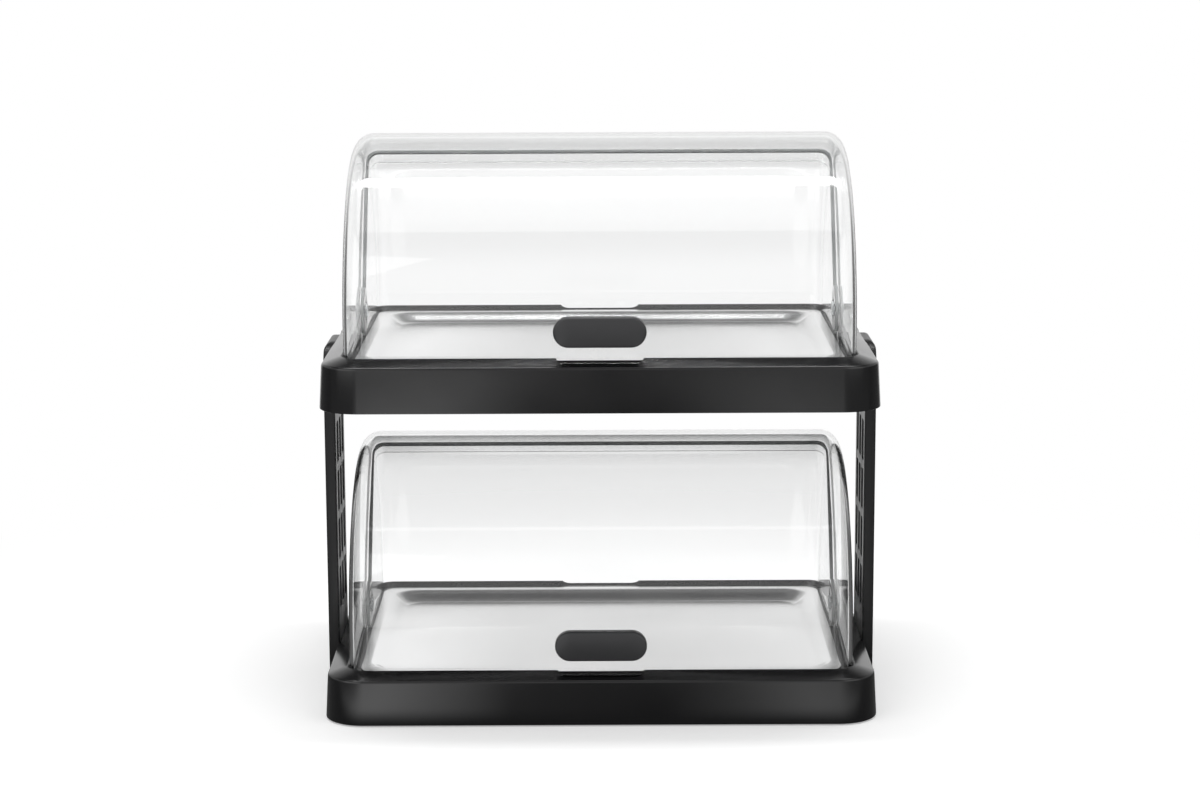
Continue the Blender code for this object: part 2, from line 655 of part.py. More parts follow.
def panel_rings(top):
    """Rings of a side panel from its flared foot to its rounded top, with X measured outwards."""
    rings = []

    def ring(outer, half_y, z):
        half_x = (outer - PANEL_FACE) / 2
        centre = Matrix.Translation((PANEL_FACE + half_x, 0, 0))
        outline = rounded_rectangle(half_x, half_y, PANEL_CORNER_RADIUS, z, SMALL_STEPS)
        rings.extend(moved([outline], centre))

    half_y = PANEL_WIDTH / 2
    ring(PANEL_OUTER + PANEL_FLARE, half_y, PANEL_FOOT_HEIGHT)
    ring(PANEL_OUTER + PANEL_FLARE, half_y, PANEL_FOOT_HEIGHT + PANEL_FLARE_HEIGHT / 2)
    ring(PANEL_OUTER, half_y, PANEL_FOOT_HEIGHT + PANEL_FLARE_HEIGHT)
    for step in range(TOP_STEPS + 1):
        rise = PANEL_TOP_RADIUS * math.sin(math.pi / 2 * step / TOP_STEPS)
        run = PANEL_TOP_RADIUS * (1 - math.cos(math.pi / 2 * step / TOP_STEPS))
        edge_rise = max(0.0, rise - (PANEL_TOP_RADIUS - PANEL_EDGE_RADIUS))
        edge_run = PANEL_EDGE_RADIUS - math.sqrt(max(0.0, PANEL_EDGE_RADIUS ** 2 - edge_rise ** 2))
        ring(PANEL_OUTER - edge_run, half_y - run, top - PANEL_TOP_RADIUS + rise)
    return rings


def window_cuts():
    """Rounded windows in columns and rows, cut right through a panel along X."""
    half_width = (WINDOW_COLUMN_PITCH - WINDOW_BAR) / 2
    half_height = (WINDOW_ROW_PITCH - WINDOW_BAR) / 2
    cuts = []
    for column in range(WINDOW_COLUMNS):
        y = (column - (WINDOW_COLUMNS - 1) / 2) * WINDOW_COLUMN_PITCH
        for row in range(WINDOW_ROWS):
            z = WINDOW_FIRST_SILL + half_height + row * WINDOW_ROW_PITCH
            rings = [rounded_rectangle(half_height, half_width, WINDOW_CORNER_RADIUS, depth, SMALL_STEPS)
                     for depth in (PANEL_FACE - OVERRUN, PANEL_OUTER + OVERRUN)]
            cuts.append(moved(rings, Matrix.Translation((0, y, z)) @ along_x(1)))
    return cuts


def make_side_panel(side, word, root, material):
    """Lattice panel that carries the upper base on a shelf. It is modelled on +X and turned for -X."""
    turn = (0, 0, 0 if side > 0 else math.pi)
    holder = make_empty(f"{word}_panel_place", root, (0, 0, 0))
    holder.rotation_euler = turn
    top = TIER_PITCH + PANEL_RISE
    panel = make_solid(f"{word}_side_panel", [panel_rings(top)], material=material, parent=holder)
    shelf_top = TIER_PITCH + PAD_RISE - GAP
    shelf_half_y = PANEL_WIDTH / 2 - SHELF_INSET
    shelf = box_rings((PANEL_FACE - SHELF_REACH, -shelf_half_y, shelf_top - SHELF_THICKNESS),
                      (PANEL_FACE + PANEL_THICKNESS / 2, shelf_half_y, shelf_top))
    combine(panel, make_solid(f"{word}_panel_shelf", [shelf], parent=holder), "UNION")
    combine(panel, make_solid(f"{word}_panel_windows", window_cuts(), parent=holder), "DIFFERENCE")
    heights = [PANEL_SCREW_HEIGHT, TIER_PITCH + PANEL_SCREW_HEIGHT]
    holes = panel_screw_holes([1], heights, PANEL_FACE - OVERRUN, PANEL_FACE + PANEL_SCREW_BITE + GAP)
    combine(panel, make_solid(f"{word}_panel_screw_cuts", holes, parent=holder), "DIFFERENCE")


def make_panel_screws(tier, holder, material):
    """Four screws from inside a base's skirt, two into each side panel."""
    rings = screw_rings(PAD_FACE - GAP, PANEL_FACE + PANEL_SCREW_BITE)
    for side, word in SIDES:
        for along, end in ENDS:
            make_solid(f"{tier}_panel_screw_{word}_{end}", [rings], material=material, parent=holder,
                       location=(0, along * PANEL_SCREW_Y, PANEL_SCREW_HEIGHT),
                       rotation=(0, side * math.pi / 2, 0))


def make_feet(root, material):
    """Four rubber feet under the lower base, just proud of its skirt."""
    rings = [circle(FOOT_RADIUS, -FOOT_PROUD), circle(FOOT_RADIUS, BASIN_FLOOR - BASE_WALL - GAP)]
    for side, word in SIDES:
        for along, end in ENDS:
            place = (side * (BASE_WIDTH / 2 - FOOT_INSET), along * (BASE_DEPTH / 2 - FOOT_INSET), 0)
            make_solid(f"foot_{word}_{end}", [rings], material=material, parent=root, location=place)


def make_tier(tier, root, height, materials, recess_foot):
    holder = make_empty(f"{tier}_tier", root, (0, 0, height))
    pivot = make_empty(f"{tier}_pivot_line", holder, (0, 0, PIVOT_HEIGHT))
    make_base(tier, holder, materials["base"], recess_foot)
    make_cool_packs(tier, holder, materials["pack"])
    make_tray(tier, holder, materials["tray"])
    make_rear_hood(tier, pivot, materials["hood"])
    make_front_hood(tier, pivot, materials["hood"])
    make_pivots(tier, pivot, materials["pivot"])
    make_handle(tier, pivot, materials["handle"], materials["screw"])
    make_panel_screws(tier, holder, materials["screw"])


def main():
    clear_scene()
    materials = make_materials()
    root = make_empty("display", None, (0, 0, FOOT_PROUD))
    make_tier("lower", root, 0, materials, PANEL_FOOT_HEIGHT - GAP)
    make_tier("upper", root, TIER_PITCH, materials, -OVERRUN)
    for side, word in SIDES:
        make_side_panel(side, word, root, materials["panel"])
    make_feet(root, materials["foot"])
    bpy.context.view_layer.update()


main()
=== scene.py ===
"""The looks of the chilled roll-top display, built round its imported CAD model.

X is the width, -Y the front and +Z up, in metres. Each shell that shows is made again with finer steps,
rounded edges and its own finish, from the sizes that the CAD part has.
"""
import math

import bmesh
import bpy
from mathutils import Matrix, Vector


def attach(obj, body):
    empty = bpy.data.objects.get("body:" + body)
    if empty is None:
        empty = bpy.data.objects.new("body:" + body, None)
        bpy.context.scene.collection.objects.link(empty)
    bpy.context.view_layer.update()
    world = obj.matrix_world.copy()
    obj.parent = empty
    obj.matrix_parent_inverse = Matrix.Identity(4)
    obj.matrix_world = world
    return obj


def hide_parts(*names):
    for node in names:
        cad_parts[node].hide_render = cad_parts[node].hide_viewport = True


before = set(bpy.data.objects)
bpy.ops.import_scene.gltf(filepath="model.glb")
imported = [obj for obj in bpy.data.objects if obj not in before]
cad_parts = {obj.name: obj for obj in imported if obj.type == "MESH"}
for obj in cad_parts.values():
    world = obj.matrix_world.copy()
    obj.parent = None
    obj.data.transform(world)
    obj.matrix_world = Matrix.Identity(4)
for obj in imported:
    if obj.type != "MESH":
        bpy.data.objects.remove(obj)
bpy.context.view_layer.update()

TIERS = ("lower", "upper")
SIDES = ((-1, "left"), (1, "right"))
ENDS = ((-1, "front"), (1, "rear"))

# Clearances
GAP = 0.0003
OVERRUN = 0.003

# Base moulding
BASE_WIDTH = 0.440
BASE_DEPTH = 0.320
BASE_CORNER_RADIUS = 0.032
BASE_DRAFT = 0.0018
BASE_WALL = 0.003
BASE_FOOT_ROUND = 0.0008
RIM_SIDE_WIDTH = 0.0182
RIM_FRONT_WIDTH = 0.0138
RIM_STEP = 0.0045
RIM_FALL = 0.007
RIM_EDGE_ROUND = 0.0008
RIM_LEAN = math.radians(20)
SHOULDER_RADIUS = 0.0018
SHOULDER_ROUND = 0.0027
BASIN_DRAFT = 0.002
BASIN_CORNER_RADIUS = 0.018
BASIN_CHAMFER = 0.004
FLOOR_CLEARANCE = 0.0037
POCKET_WIDTH = 0.068
POCKET_REACH = 0.008
POCKET_DEPTH = 0.007
POCKET_WALL = 0.003
PANEL_PAD_THICKNESS = 0.0045
PANEL_PAD_MARGIN = 0.006
PANEL_PAD_RISE = 0.001
RIDGE_HEIGHT = 0.002
RIDGE_WIDTH = 0.002
RIDGE_HOOD_GAP = 0.0011
RIDGE_INSET = 0.026
RIDGE_ROUND = 0.0005

# Feet
FOOT_PROUD = 0.001
FOOT_RADIUS = 0.011
FOOT_INSET = 0.068

# Tray
TRAY_SHEET = 0.001
TRAY_HOOD_GAP = 0.0011
TRAY_RIM_WIDTH = 0.0085
TRAY_SLOPE_WIDTH = 0.0135
TRAY_SINK = 0.008
TRAY_BEARING = 0.0065
TRAY_CORNER_RADIUS = 0.016
TRAY_SLOPE_CORNER_RADIUS = 0.021
TRAY_FLOOR_CORNER_RADIUS = 0.015
TRAY_STEEP_WIDTH = 0.0108
TRAY_BEND_REACH = 0.0032
COOL_PACK_THICKNESS = 0.022

# Hoods
PIVOT_RAISE = 0.017
HOOD_WALL = 0.003
HOOD_CORNER_RADIUS = 0.016
HOOD_NEST_GAP = 0.001
HOOD_RIM_GAP = 0.0012
EAR_RADIUS = 0.019
FRONT_HOOD_EDGE_ANGLE = math.radians(35)
REAR_HOOD_EDGE_ANGLE = math.radians(25)
HOOD_EDGE_ROUND = 0.0006
HOOD_SHY = 0.0002

# Pivot hardware
PIN_RADIUS = 0.0025
PIN_HEAD_RADIUS = 0.006
PIN_HEAD_THICKNESS = 0.0014
BUSH_RADIUS = 0.0042
BUSH_FLANGE_RADIUS = 0.0056
BUSH_FLANGE_THICKNESS = 0.0008
CAP_RADIUS = 0.006
CAP_THICKNESS = 0.0016
TURNED_ROUND = 0.0005

# Handle
HANDLE_WIDTH = 0.0725
HANDLE_HEIGHT = 0.024
HANDLE_THICKNESS = 0.009
HANDLE_RAISE = 0.0041
HANDLE_NECK_LENGTH = 0.002
HANDLE_NECK_INSET = 0.005
HANDLE_DOME = 0.0016
HANDLE_EDGE_ROUND = 0.0026
HANDLE_EDGE_LEAN = math.radians(10)
HANDLE_DOME_REACH = 0.98
PILL_END_SHARE = 0.999
HANDLE_PLATE_INSET = 0.006
HANDLE_PLATE_THICKNESS = 0.0016
HANDLE_SCREW_INSET = 0.017
HANDLE_SCREW_BITE = 0.007
CAD_HOOD_STEP = math.radians(7.5)

# Side panels
TIER_CLEARANCE = 0.0455
PANEL_THICKNESS = 0.009
PANEL_WIDTH = 0.076
PANEL_FOOT_HEIGHT = 0.0076
PANEL_RISE = 0.0355
PANEL_TOP_RADIUS = 0.022
PANEL_EDGE_RADIUS = 0.0065
PANEL_CORNER_RADIUS = 0.0012
PANEL_FLARE = 0.0007
PANEL_FLARE_HEIGHT = 0.004
PANEL_POST = 0.010
WINDOW_COLUMNS = 3
WINDOW_ROWS = 4
WINDOW_BAR = 0.007
WINDOW_FIRST_SILL = 0.062
WINDOW_HEAD_MARGIN = 0.031
WINDOW_CORNER_RADIUS = 0.003
WINDOW_EDGE_ROUND = 0.0006
SHELF_REACH = 0.0048
SHELF_THICKNESS = 0.004
SHELF_INSET = 0.004

# Screws, with a cross recess in each head
SCREW_RADIUS = 0.002
SCREW_HEAD_RADIUS = 0.004
SCREW_HEAD_THICKNESS = 0.0022
SCREW_HEAD_ROUND = 0.001
SCREW_TIP = 0.0006
SCREW_SLOT_WIDTH = 0.0009
SCREW_SLOT_LENGTH = 0.0044
SCREW_SLOT_DEPTH = 0.0011
PANEL_SCREW_INSET = 0.015
PANEL_SCREW_BITE = 0.006

# Steps round corners and turned pieces
CORNER_STEPS = 14
EDGE_STEPS = 5
HOOD_CORNER_STEPS = 12
HOOD_STEP = math.radians(2)
TURNED_SIDES = 48
BEVEL_STEPS = 2
SMOOTH_ANGLE = math.radians(32)
BEVEL_ANGLE = math.radians(50)
PANEL_BEVEL_ANGLE = math.radians(60)

# Heights in a tier, from the lower edge of its base
BASIN_FLOOR = FLOOR_CLEARANCE + BASE_WALL
TRAY_UNDERSIDE = BASIN_FLOOR + GAP + COOL_PACK_THICKNESS + GAP + TRAY_SINK
SEAT_HEIGHT = TRAY_UNDERSIDE - GAP
RIM_HEIGHT = SEAT_HEIGHT + RIM_STEP
SHOULDER_HEIGHT = RIM_HEIGHT - RIM_FALL
PIVOT_HEIGHT = RIM_HEIGHT + PIVOT_RAISE
HOOD_SEAT = SEAT_HEIGHT + GAP - PIVOT_HEIGHT
PANEL_SCREW_HEIGHT = SHOULDER_HEIGHT / 2

# Half sizes in plan
RIM_HALF_X = BASE_WIDTH / 2 - RIM_SIDE_WIDTH
RIM_HALF_Y = BASE_DEPTH / 2 - RIM_FRONT_WIDTH
RIM_CORNER_RADIUS = HOOD_CORNER_RADIUS + HOOD_RIM_GAP
HOOD_HALF_WIDTH = RIM_HALF_X - HOOD_RIM_GAP
HOOD_RADIUS = math.hypot(RIM_HALF_Y - HOOD_RIM_GAP, PIVOT_RAISE)
REAR_HOOD_INSET = HOOD_WALL + HOOD_NEST_GAP
REAR_HOOD_HALF_WIDTH = HOOD_HALF_WIDTH - REAR_HOOD_INSET
REAR_HOOD_RADIUS = HOOD_RADIUS - REAR_HOOD_INSET
REAR_HOOD_CORNER_RADIUS = HOOD_CORNER_RADIUS - REAR_HOOD_INSET
TRAY_DROP = PIVOT_HEIGHT - TRAY_UNDERSIDE - TRAY_SHEET
TRAY_HALF_X = REAR_HOOD_HALF_WIDTH - HOOD_WALL - TRAY_HOOD_GAP
TRAY_HALF_Y = math.sqrt((REAR_HOOD_RADIUS - HOOD_WALL) ** 2 - TRAY_DROP ** 2) - TRAY_HOOD_GAP
BASIN_HALF_X = TRAY_HALF_X - TRAY_BEARING
BASIN_HALF_Y = TRAY_HALF_Y - TRAY_BEARING
TIER_PITCH = PIVOT_HEIGHT + HOOD_RADIUS + TIER_CLEARANCE
TIER_LIFT = {"lower": FOOT_PROUD, "upper": FOOT_PROUD + TIER_PITCH}

# Panel places
RECESS_FACE = BASE_WIDTH / 2 - BASE_WALL - GAP
PAD_FACE = RECESS_FACE - PANEL_PAD_THICKNESS
PANEL_FACE = RECESS_FACE + GAP
PANEL_OUTER = PANEL_FACE + PANEL_THICKNESS
PANEL_SCREW_Y = PANEL_WIDTH / 2 - PANEL_SCREW_INSET
WINDOW_COLUMN_PITCH = (PANEL_WIDTH - 2 * PANEL_POST + WINDOW_BAR) / WINDOW_COLUMNS
WINDOW_ROW_PITCH = (TIER_PITCH - WINDOW_FIRST_SILL - WINDOW_HEAD_MARGIN + WINDOW_BAR) / WINDOW_ROWS
HANDLE_SCREW_X = HANDLE_WIDTH / 2 - HANDLE_SCREW_INSET

# Finishes
PLASTIC_IOR = 1.49
GRAIN_STRENGTH = 0.35
HANDLING_MARKS = 18.0
HANDLING_SWAY = 0.03
BRUSH_STRENGTH = 0.1
BRUSH_DEPTH = 0.00003
STEEL_CLOUDS = 9.0
STEEL_SWAY = 0.04
STEEL_SHADE = 0.96
SMEARS = 14.0
SMEAR_SWAY = 0.006
SHEET_SHADOW = (0.96, 0.97, 0.97)
MILKY_CLOUDS = 160.0
MILKY_SWAY = 0.1
MILKY_SHADE = 0.9
MILKY_TRANSMISSION = 0.55

# Floor, with distances from its middle in metres
FLOOR_HALF = 6.0
FLOOR_COLOUR = (0.86, 0.86, 0.86)
FLOOR_NEAR = 0.35
FLOOR_FAR = 0.80
FLOOR_LIFT = 0.32
FLOOR_FRONT_BLEND = 0.05
# The strips of light on the floor spread towards the camera, as X over a width that grows with -Y
FLOOR_SPREAD_RATE = -0.47
FLOOR_SPREAD_START = 0.955
# Light levels that the object mirrors in the floor in front of it, from left to right
FLOOR_LEVELS = (
    (-1.5, 0.2), (-0.32, 0.3), (-0.24, 0.9), (-0.18, 2.3), (-0.13, 1.4), (-0.07, 0.25),
    (0.05, 0.1), (0.11, 0.6), (0.17, 1.5), (0.22, 0.9), (0.3, 0.3), (1.5, 0.2),
)

# Studio, with its parts given in the X, Y or Z of the direction that is looked in
STUDIO_DARK = 0.12
STUDIO_FRONT = 0.9
STUDIO_SIDE = 0.65
STUDIO_TURN = (-0.7, 0.0)
STUDIO_BACK = (0.7, 0.92)
TWICE_MIRRORED = 0.6
AMBIENT_FRONT = 0.25
AMBIENT_BACK = 0.55
AMBIENT_TURN = (-0.6, 0.4)
LOW_FRONT = (0.0, -0.15)
LOW_TO_HIGH = (0.05, 0.2)
CEILING_FADE = (0.85, 0.5)
# Light levels low across the front of the studio, from left to right
FRONT_LEVELS = (
    (-1.0, 0.2), (-0.45, 0.4), (-0.22, 1.0), (-0.11, 1.6), (-0.05, 0.3), (0.03, 0.1),
    (0.08, 0.5), (0.15, 1.0), (0.3, 0.6), (0.5, 0.3), (1.0, 0.2),
)

# Lamps: name, place, target, size and power
LAMPS = (
    ("top_lamp", (0.0, -0.24, 1.7), (0.0, -0.24, 0.0), (2.2, 1.32), 8.5),
    ("strip_lamp", (0.0, 0.1, 1.69), (0.0, 0.1, 0.0), (1.4, 0.16), 9),
    ("left_lamp", (-1.5, -1.7, 1.1), (0, 0, 0.2), (2.2, 2.2), 14),
    ("right_lamp", (1.6, -1.6, 1.1), (0, 0, 0.2), (2.0, 2.0), 9),
)

# Camera
LENS = 81.56
SENSOR_WIDTH = 36.0
CAMERA_PLACE = (0.0, -2.2272, 0.6315)
CAMERA_TILT = math.radians(10.14)
CAMERA_ROLL = -0.0041


# Mesh helpers

def rounded_rectangle(half_x, half_y, radius, z, steps=CORNER_STEPS):
    """Outline of a rounded rectangle at height z, anticlockwise from its +X side."""
    outline = []
    for corner in range(4):
        side_x = 1 if corner in (0, 3) else -1
        side_y = 1 if corner in (0, 1) else -1
        for step in range(steps + 1):
            angle = math.pi / 2 * (corner + step / steps)
            x = side_x * (half_x - radius) + radius * math.cos(angle)
            y = side_y * (half_y - radius) + radius * math.sin(angle)
            outline.append(Vector((x, y, z)))
    return outline


def circle(radius, z, sides=TURNED_SIDES):
    angles = [2 * math.pi * index / sides for index in range(sides)]
    return [Vector((radius * math.cos(angle), radius * math.sin(angle), z)) for angle in angles]


def block(low, high):
    corners = ((low[0], low[1]), (high[0], low[1]), (high[0], high[1]), (low[0], high[1]))
    return [[Vector((x, y, z)) for x, y in corners] for z in (low[2], high[2])]


def moved(rings, matrix):
    return [[matrix @ point for point in ring] for ring in rings]


def add_skin(bm, rings, closed=False):
    """Faces between neighbouring rings. Both ends are capped, or the last ring joins the first."""
    loops = [[bm.verts.new(point) for point in ring] for ring in rings]
    pairs = list(zip(loops, loops[1:]))
    if closed:
        pairs.append((loops[-1], loops[0]))
    else:
        bm.faces.new(reversed(loops[0]))
        bm.faces.new(loops[-1])
    for first, second in pairs:
        for index, vertex in enumerate(first):
            following = (index + 1) % len(first)
            bm.faces.new((vertex, first[following], second[following], second[index]))


def make_object(name, bm, matrix=Matrix.Identity(4)):
    bmesh.ops.transform(bm, matrix=matrix, verts=bm.verts)
    bmesh.ops.recalc_face_normals(bm, faces=bm.faces)
    mesh = bpy.data.meshes.new(name)
    bm.to_mesh(mesh)
    bm.free()
    piece = bpy.data.objects.new(name, mesh)
    bpy.context.scene.collection.objects.link(piece)
    return piece


def make_solid(name, shapes, matrix=Matrix.Identity(4), closed=False):
    bm = bmesh.new()
    for rings in shapes:
        add_skin(bm, rings, closed)
    return make_object(name, bm, matrix)


def carve(piece, *steps):
    """Joins or cuts helper solids into a piece for good, and removes the helpers."""
    for operation, tool in steps:
        modifier = piece.modifiers.new(tool.name, "BOOLEAN")
        modifier.operation = operation
        modifier.solver = "EXACT"
        modifier.object = tool
    settle(piece)
    for operation, tool in steps:
        bpy.data.objects.remove(tool, do_unlink=True)


def round_edges(piece, width, angle=BEVEL_ANGLE, steps=BEVEL_STEPS):
    """Rounds a piece's sharp edges for good."""
    modifier = piece.modifiers.new("edges", "BEVEL")
    modifier.width = width
    modifier.segments = steps
    modifier.limit_method = "ANGLE"
    modifier.angle_limit = angle
    modifier.use_clamp_overlap = True
    settle(piece)


def settle(piece):
    """Turns a piece's modifiers into plain mesh."""
    bpy.context.view_layer.update()
    graph = bpy.context.evaluated_depsgraph_get()
    mesh = bpy.data.meshes.new_from_object(piece.evaluated_get(graph))
    piece.modifiers.clear()
    piece.data = mesh


def dress(piece, body, materials, slot, *stands_for):
    """Gives a finished piece its shading, its material or tuple of them, its body and its CAD nodes."""
    piece.data.shade_smooth()
    piece.data.set_sharp_from_angle(angle=SMOOTH_ANGLE)
    for material in materials if isinstance(materials, tuple) else (materials,):
        piece.data.materials.append(material)
    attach(piece, body)
    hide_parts(*stands_for)
    return piece


def arc(centre, radius, start, end, steps):
    """Points (a, b) on an arc in a plane, from one angle to another."""
    return [(centre[0] + radius * math.cos(start + (end - start) * step / steps),
             centre[1] + radius * math.sin(start + (end - start) * step / steps))
            for step in range(steps + 1)]


# Finishes

def node_helper(tree):
    """A helper that adds nodes with linked or set inputs to a node tree."""

    def node(kind, inputs=None, **settings):
        made = tree.nodes.new("ShaderNode" + kind)
        for key, value in settings.items():
            setattr(made, key, value)
        for key, value in (inputs or {}).items():
            if isinstance(value, bpy.types.NodeSocket):
                tree.links.new(value, made.inputs[key])
            else:
                made.inputs[key].default_value = value
        return made

    return node


def new_material(name):
    """A node material with its Principled shader and a helper that adds linked nodes to it."""
    material = bpy.data.materials.new(name)
    material.use_nodes = True
    tree = material.node_tree
    return material, tree.nodes["Principled BSDF"], node_helper(tree)


def set_shader(material, shader, **values):
    """Sets or links the Principled shader's inputs, named with underscores for spaces."""
    for key, value in values.items():
        socket = shader.inputs[key.replace("_", " ")]
        if isinstance(value, bpy.types.NodeSocket):
            material.node_tree.links.new(value, socket)
        else:
            socket.default_value = value


def object_noise(node, scale, stretch=(1, 1, 1), detail=3.0):
    """Noise in the piece's own space. Scale is in features a metre."""
    place = node("TexCoord").outputs["Object"]
    stretched = node("Mapping", {"Vector": place, "Scale": stretch})
    noise = node("TexNoise", {"Vector": stretched.outputs["Vector"], "Scale": scale, "Detail": detail})
    return noise.outputs["Fac"]


def between(node, factor, low, high):
    """Spreads noise, which lies round a half, over a range of numbers."""
    return node("MapRange", {"Value": factor, "From Min": 0.3, "From Max": 0.7, "To Min": low,
                             "To Max": high}).outputs["Result"]


def shade_between(node, factor, low, high):
    mix = node("Mix", data_type="RGBA")
    mix.id_data.links.new(factor, mix.inputs[0])
    mix.inputs[6].default_value = (*low, 1)
    mix.inputs[7].default_value = (*high, 1)
    return mix.outputs[2]


def moulded_plastic(name, dark, light, roughness, grain, grain_depth, gloss=0.5):
    """Moulded plastic with an eroded grain and faint handling marks."""
    material, shader, node = new_material(name)
    fine = object_noise(node, grain, detail=2.0)
    broad = object_noise(node, HANDLING_MARKS)
    bump = node("Bump", {"Height": fine, "Strength": GRAIN_STRENGTH, "Distance": grain_depth})
    set_shader(material, shader,
               Base_Color=shade_between(node, broad, dark, light),
               Roughness=between(node, broad, roughness - HANDLING_SWAY, roughness + HANDLING_SWAY),
               Specular_IOR_Level=gloss, Normal=bump.outputs["Normal"])
    return material


def brushed_steel(name, colour, roughness, along):
    """Steel sheet brushed in one direction, given as the stretch of its fine lines."""
    material, shader, node = new_material(name)
    lines = object_noise(node, 1.0, stretch=along, detail=2.0)
    clouds = object_noise(node, STEEL_CLOUDS)
    bump = node("Bump", {"Height": lines, "Strength": BRUSH_STRENGTH, "Distance": BRUSH_DEPTH})
    low = tuple(share * STEEL_SHADE for share in colour)
    set_shader(material, shader, Metallic=1.0,
               Base_Color=shade_between(node, lines, low, colour),
               Roughness=between(node, clouds, roughness - STEEL_SWAY, roughness + STEEL_SWAY),
               Normal=bump.outputs["Normal"])
    return material


def clear_sheet(name, tint, density, roughness):
    """Clear moulded sheet. It bends and mirrors what is seen, and lets lamps through to what is inside."""
    material, shader, node = new_material(name)
    smears = object_noise(node, SMEARS)
    set_shader(material, shader, Transmission_Weight=1.0, IOR=PLASTIC_IOR,
               Base_Color=(1, 1, 1, 1),
               Roughness=between(node, smears, roughness, roughness + SMEAR_SWAY))
    tree = material.node_tree
    output = tree.nodes["Material Output"]
    through = node("BsdfTransparent", {"Color": (*SHEET_SHADOW, 1)})
    rays = node("LightPath")
    mix = node("MixShader", {0: rays.outputs["Is Shadow Ray"]})
    tree.links.new(shader.outputs["BSDF"], mix.inputs[1])
    tree.links.new(through.outputs["BSDF"], mix.inputs[2])
    tree.links.new(mix.outputs["Shader"], output.inputs["Surface"])
    absorb = node("VolumeAbsorption", {"Color": (*tint, 1), "Density": density})
    tree.links.new(absorb.outputs["Volume"], output.inputs["Volume"])
    return material


def frosted_plastic(name, colour, roughness):
    """Milky translucent plastic of the pivot pieces and of the sheets' cut edges. On the cut edges its grey
    is painted shade, for the dark lines that light inside a clear sheet draws along its edges.
    """
    material, shader, node = new_material(name)
    clouds = object_noise(node, MILKY_CLOUDS)
    low = tuple(share * MILKY_SHADE for share in colour)
    set_shader(material, shader, Transmission_Weight=MILKY_TRANSMISSION, IOR=PLASTIC_IOR,
               Base_Color=shade_between(node, clouds, low, colour),
               Roughness=between(node, clouds, roughness, roughness + MILKY_SWAY))
    return material


def make_finishes():
    return {
        "black_base": moulded_plastic(
            "black_base_look", dark=(0.006, 0.006, 0.0065), light=(0.008, 0.008, 0.0085),
            roughness=0.19, grain=1500.0, grain_depth=0.00002),
        "black_panel": moulded_plastic(
            "black_panel_look", dark=(0.006, 0.006, 0.0065), light=(0.009, 0.009, 0.0095),
            roughness=0.36, grain=1300.0, grain_depth=0.00003, gloss=0.35),
        "black_handle": moulded_plastic(
            "black_handle_look", dark=(0.026, 0.026, 0.028), light=(0.034, 0.034, 0.036),
            roughness=0.40, grain=1800.0, grain_depth=0.00002),
        "clear_hood": clear_sheet(
            "clear_hood_look", tint=(0.86, 0.88, 0.88), density=22.0, roughness=0.006),
        # Cut edges of the hoods: milky plastic whose mid grey is painted shade for the dark lines along the
        # sheet edges
        "milky_edge_painted_shade": frosted_plastic(
            "milky_edge_painted_shade_look", colour=(0.50, 0.51, 0.51), roughness=0.30),
        "translucent_pivot": frosted_plastic(
            "translucent_pivot_look", colour=(0.78, 0.79, 0.80), roughness=0.22),
        "stainless_tray": brushed_steel(
            "stainless_tray_look", colour=(0.82, 0.82, 0.82), roughness=0.23,
            along=(14.0, 1500.0, 1500.0)),
        "screw_steel": brushed_steel(
            "screw_steel_look", colour=(0.56, 0.56, 0.57), roughness=0.3, along=(900.0, 900.0, 900.0)),
        "cool_pack": moulded_plastic(
            "cool_pack_look", dark=(0.36, 0.56, 0.76), light=(0.46, 0.66, 0.84),
            roughness=0.36, grain=600.0, grain_depth=0.00005),
        "foot_rubber": moulded_plastic(
            "foot_rubber_look", dark=(0.016, 0.016, 0.016), light=(0.024, 0.024, 0.024),
            roughness=0.75, grain=900.0, grain_depth=0.00006),
    }


# Base moulding

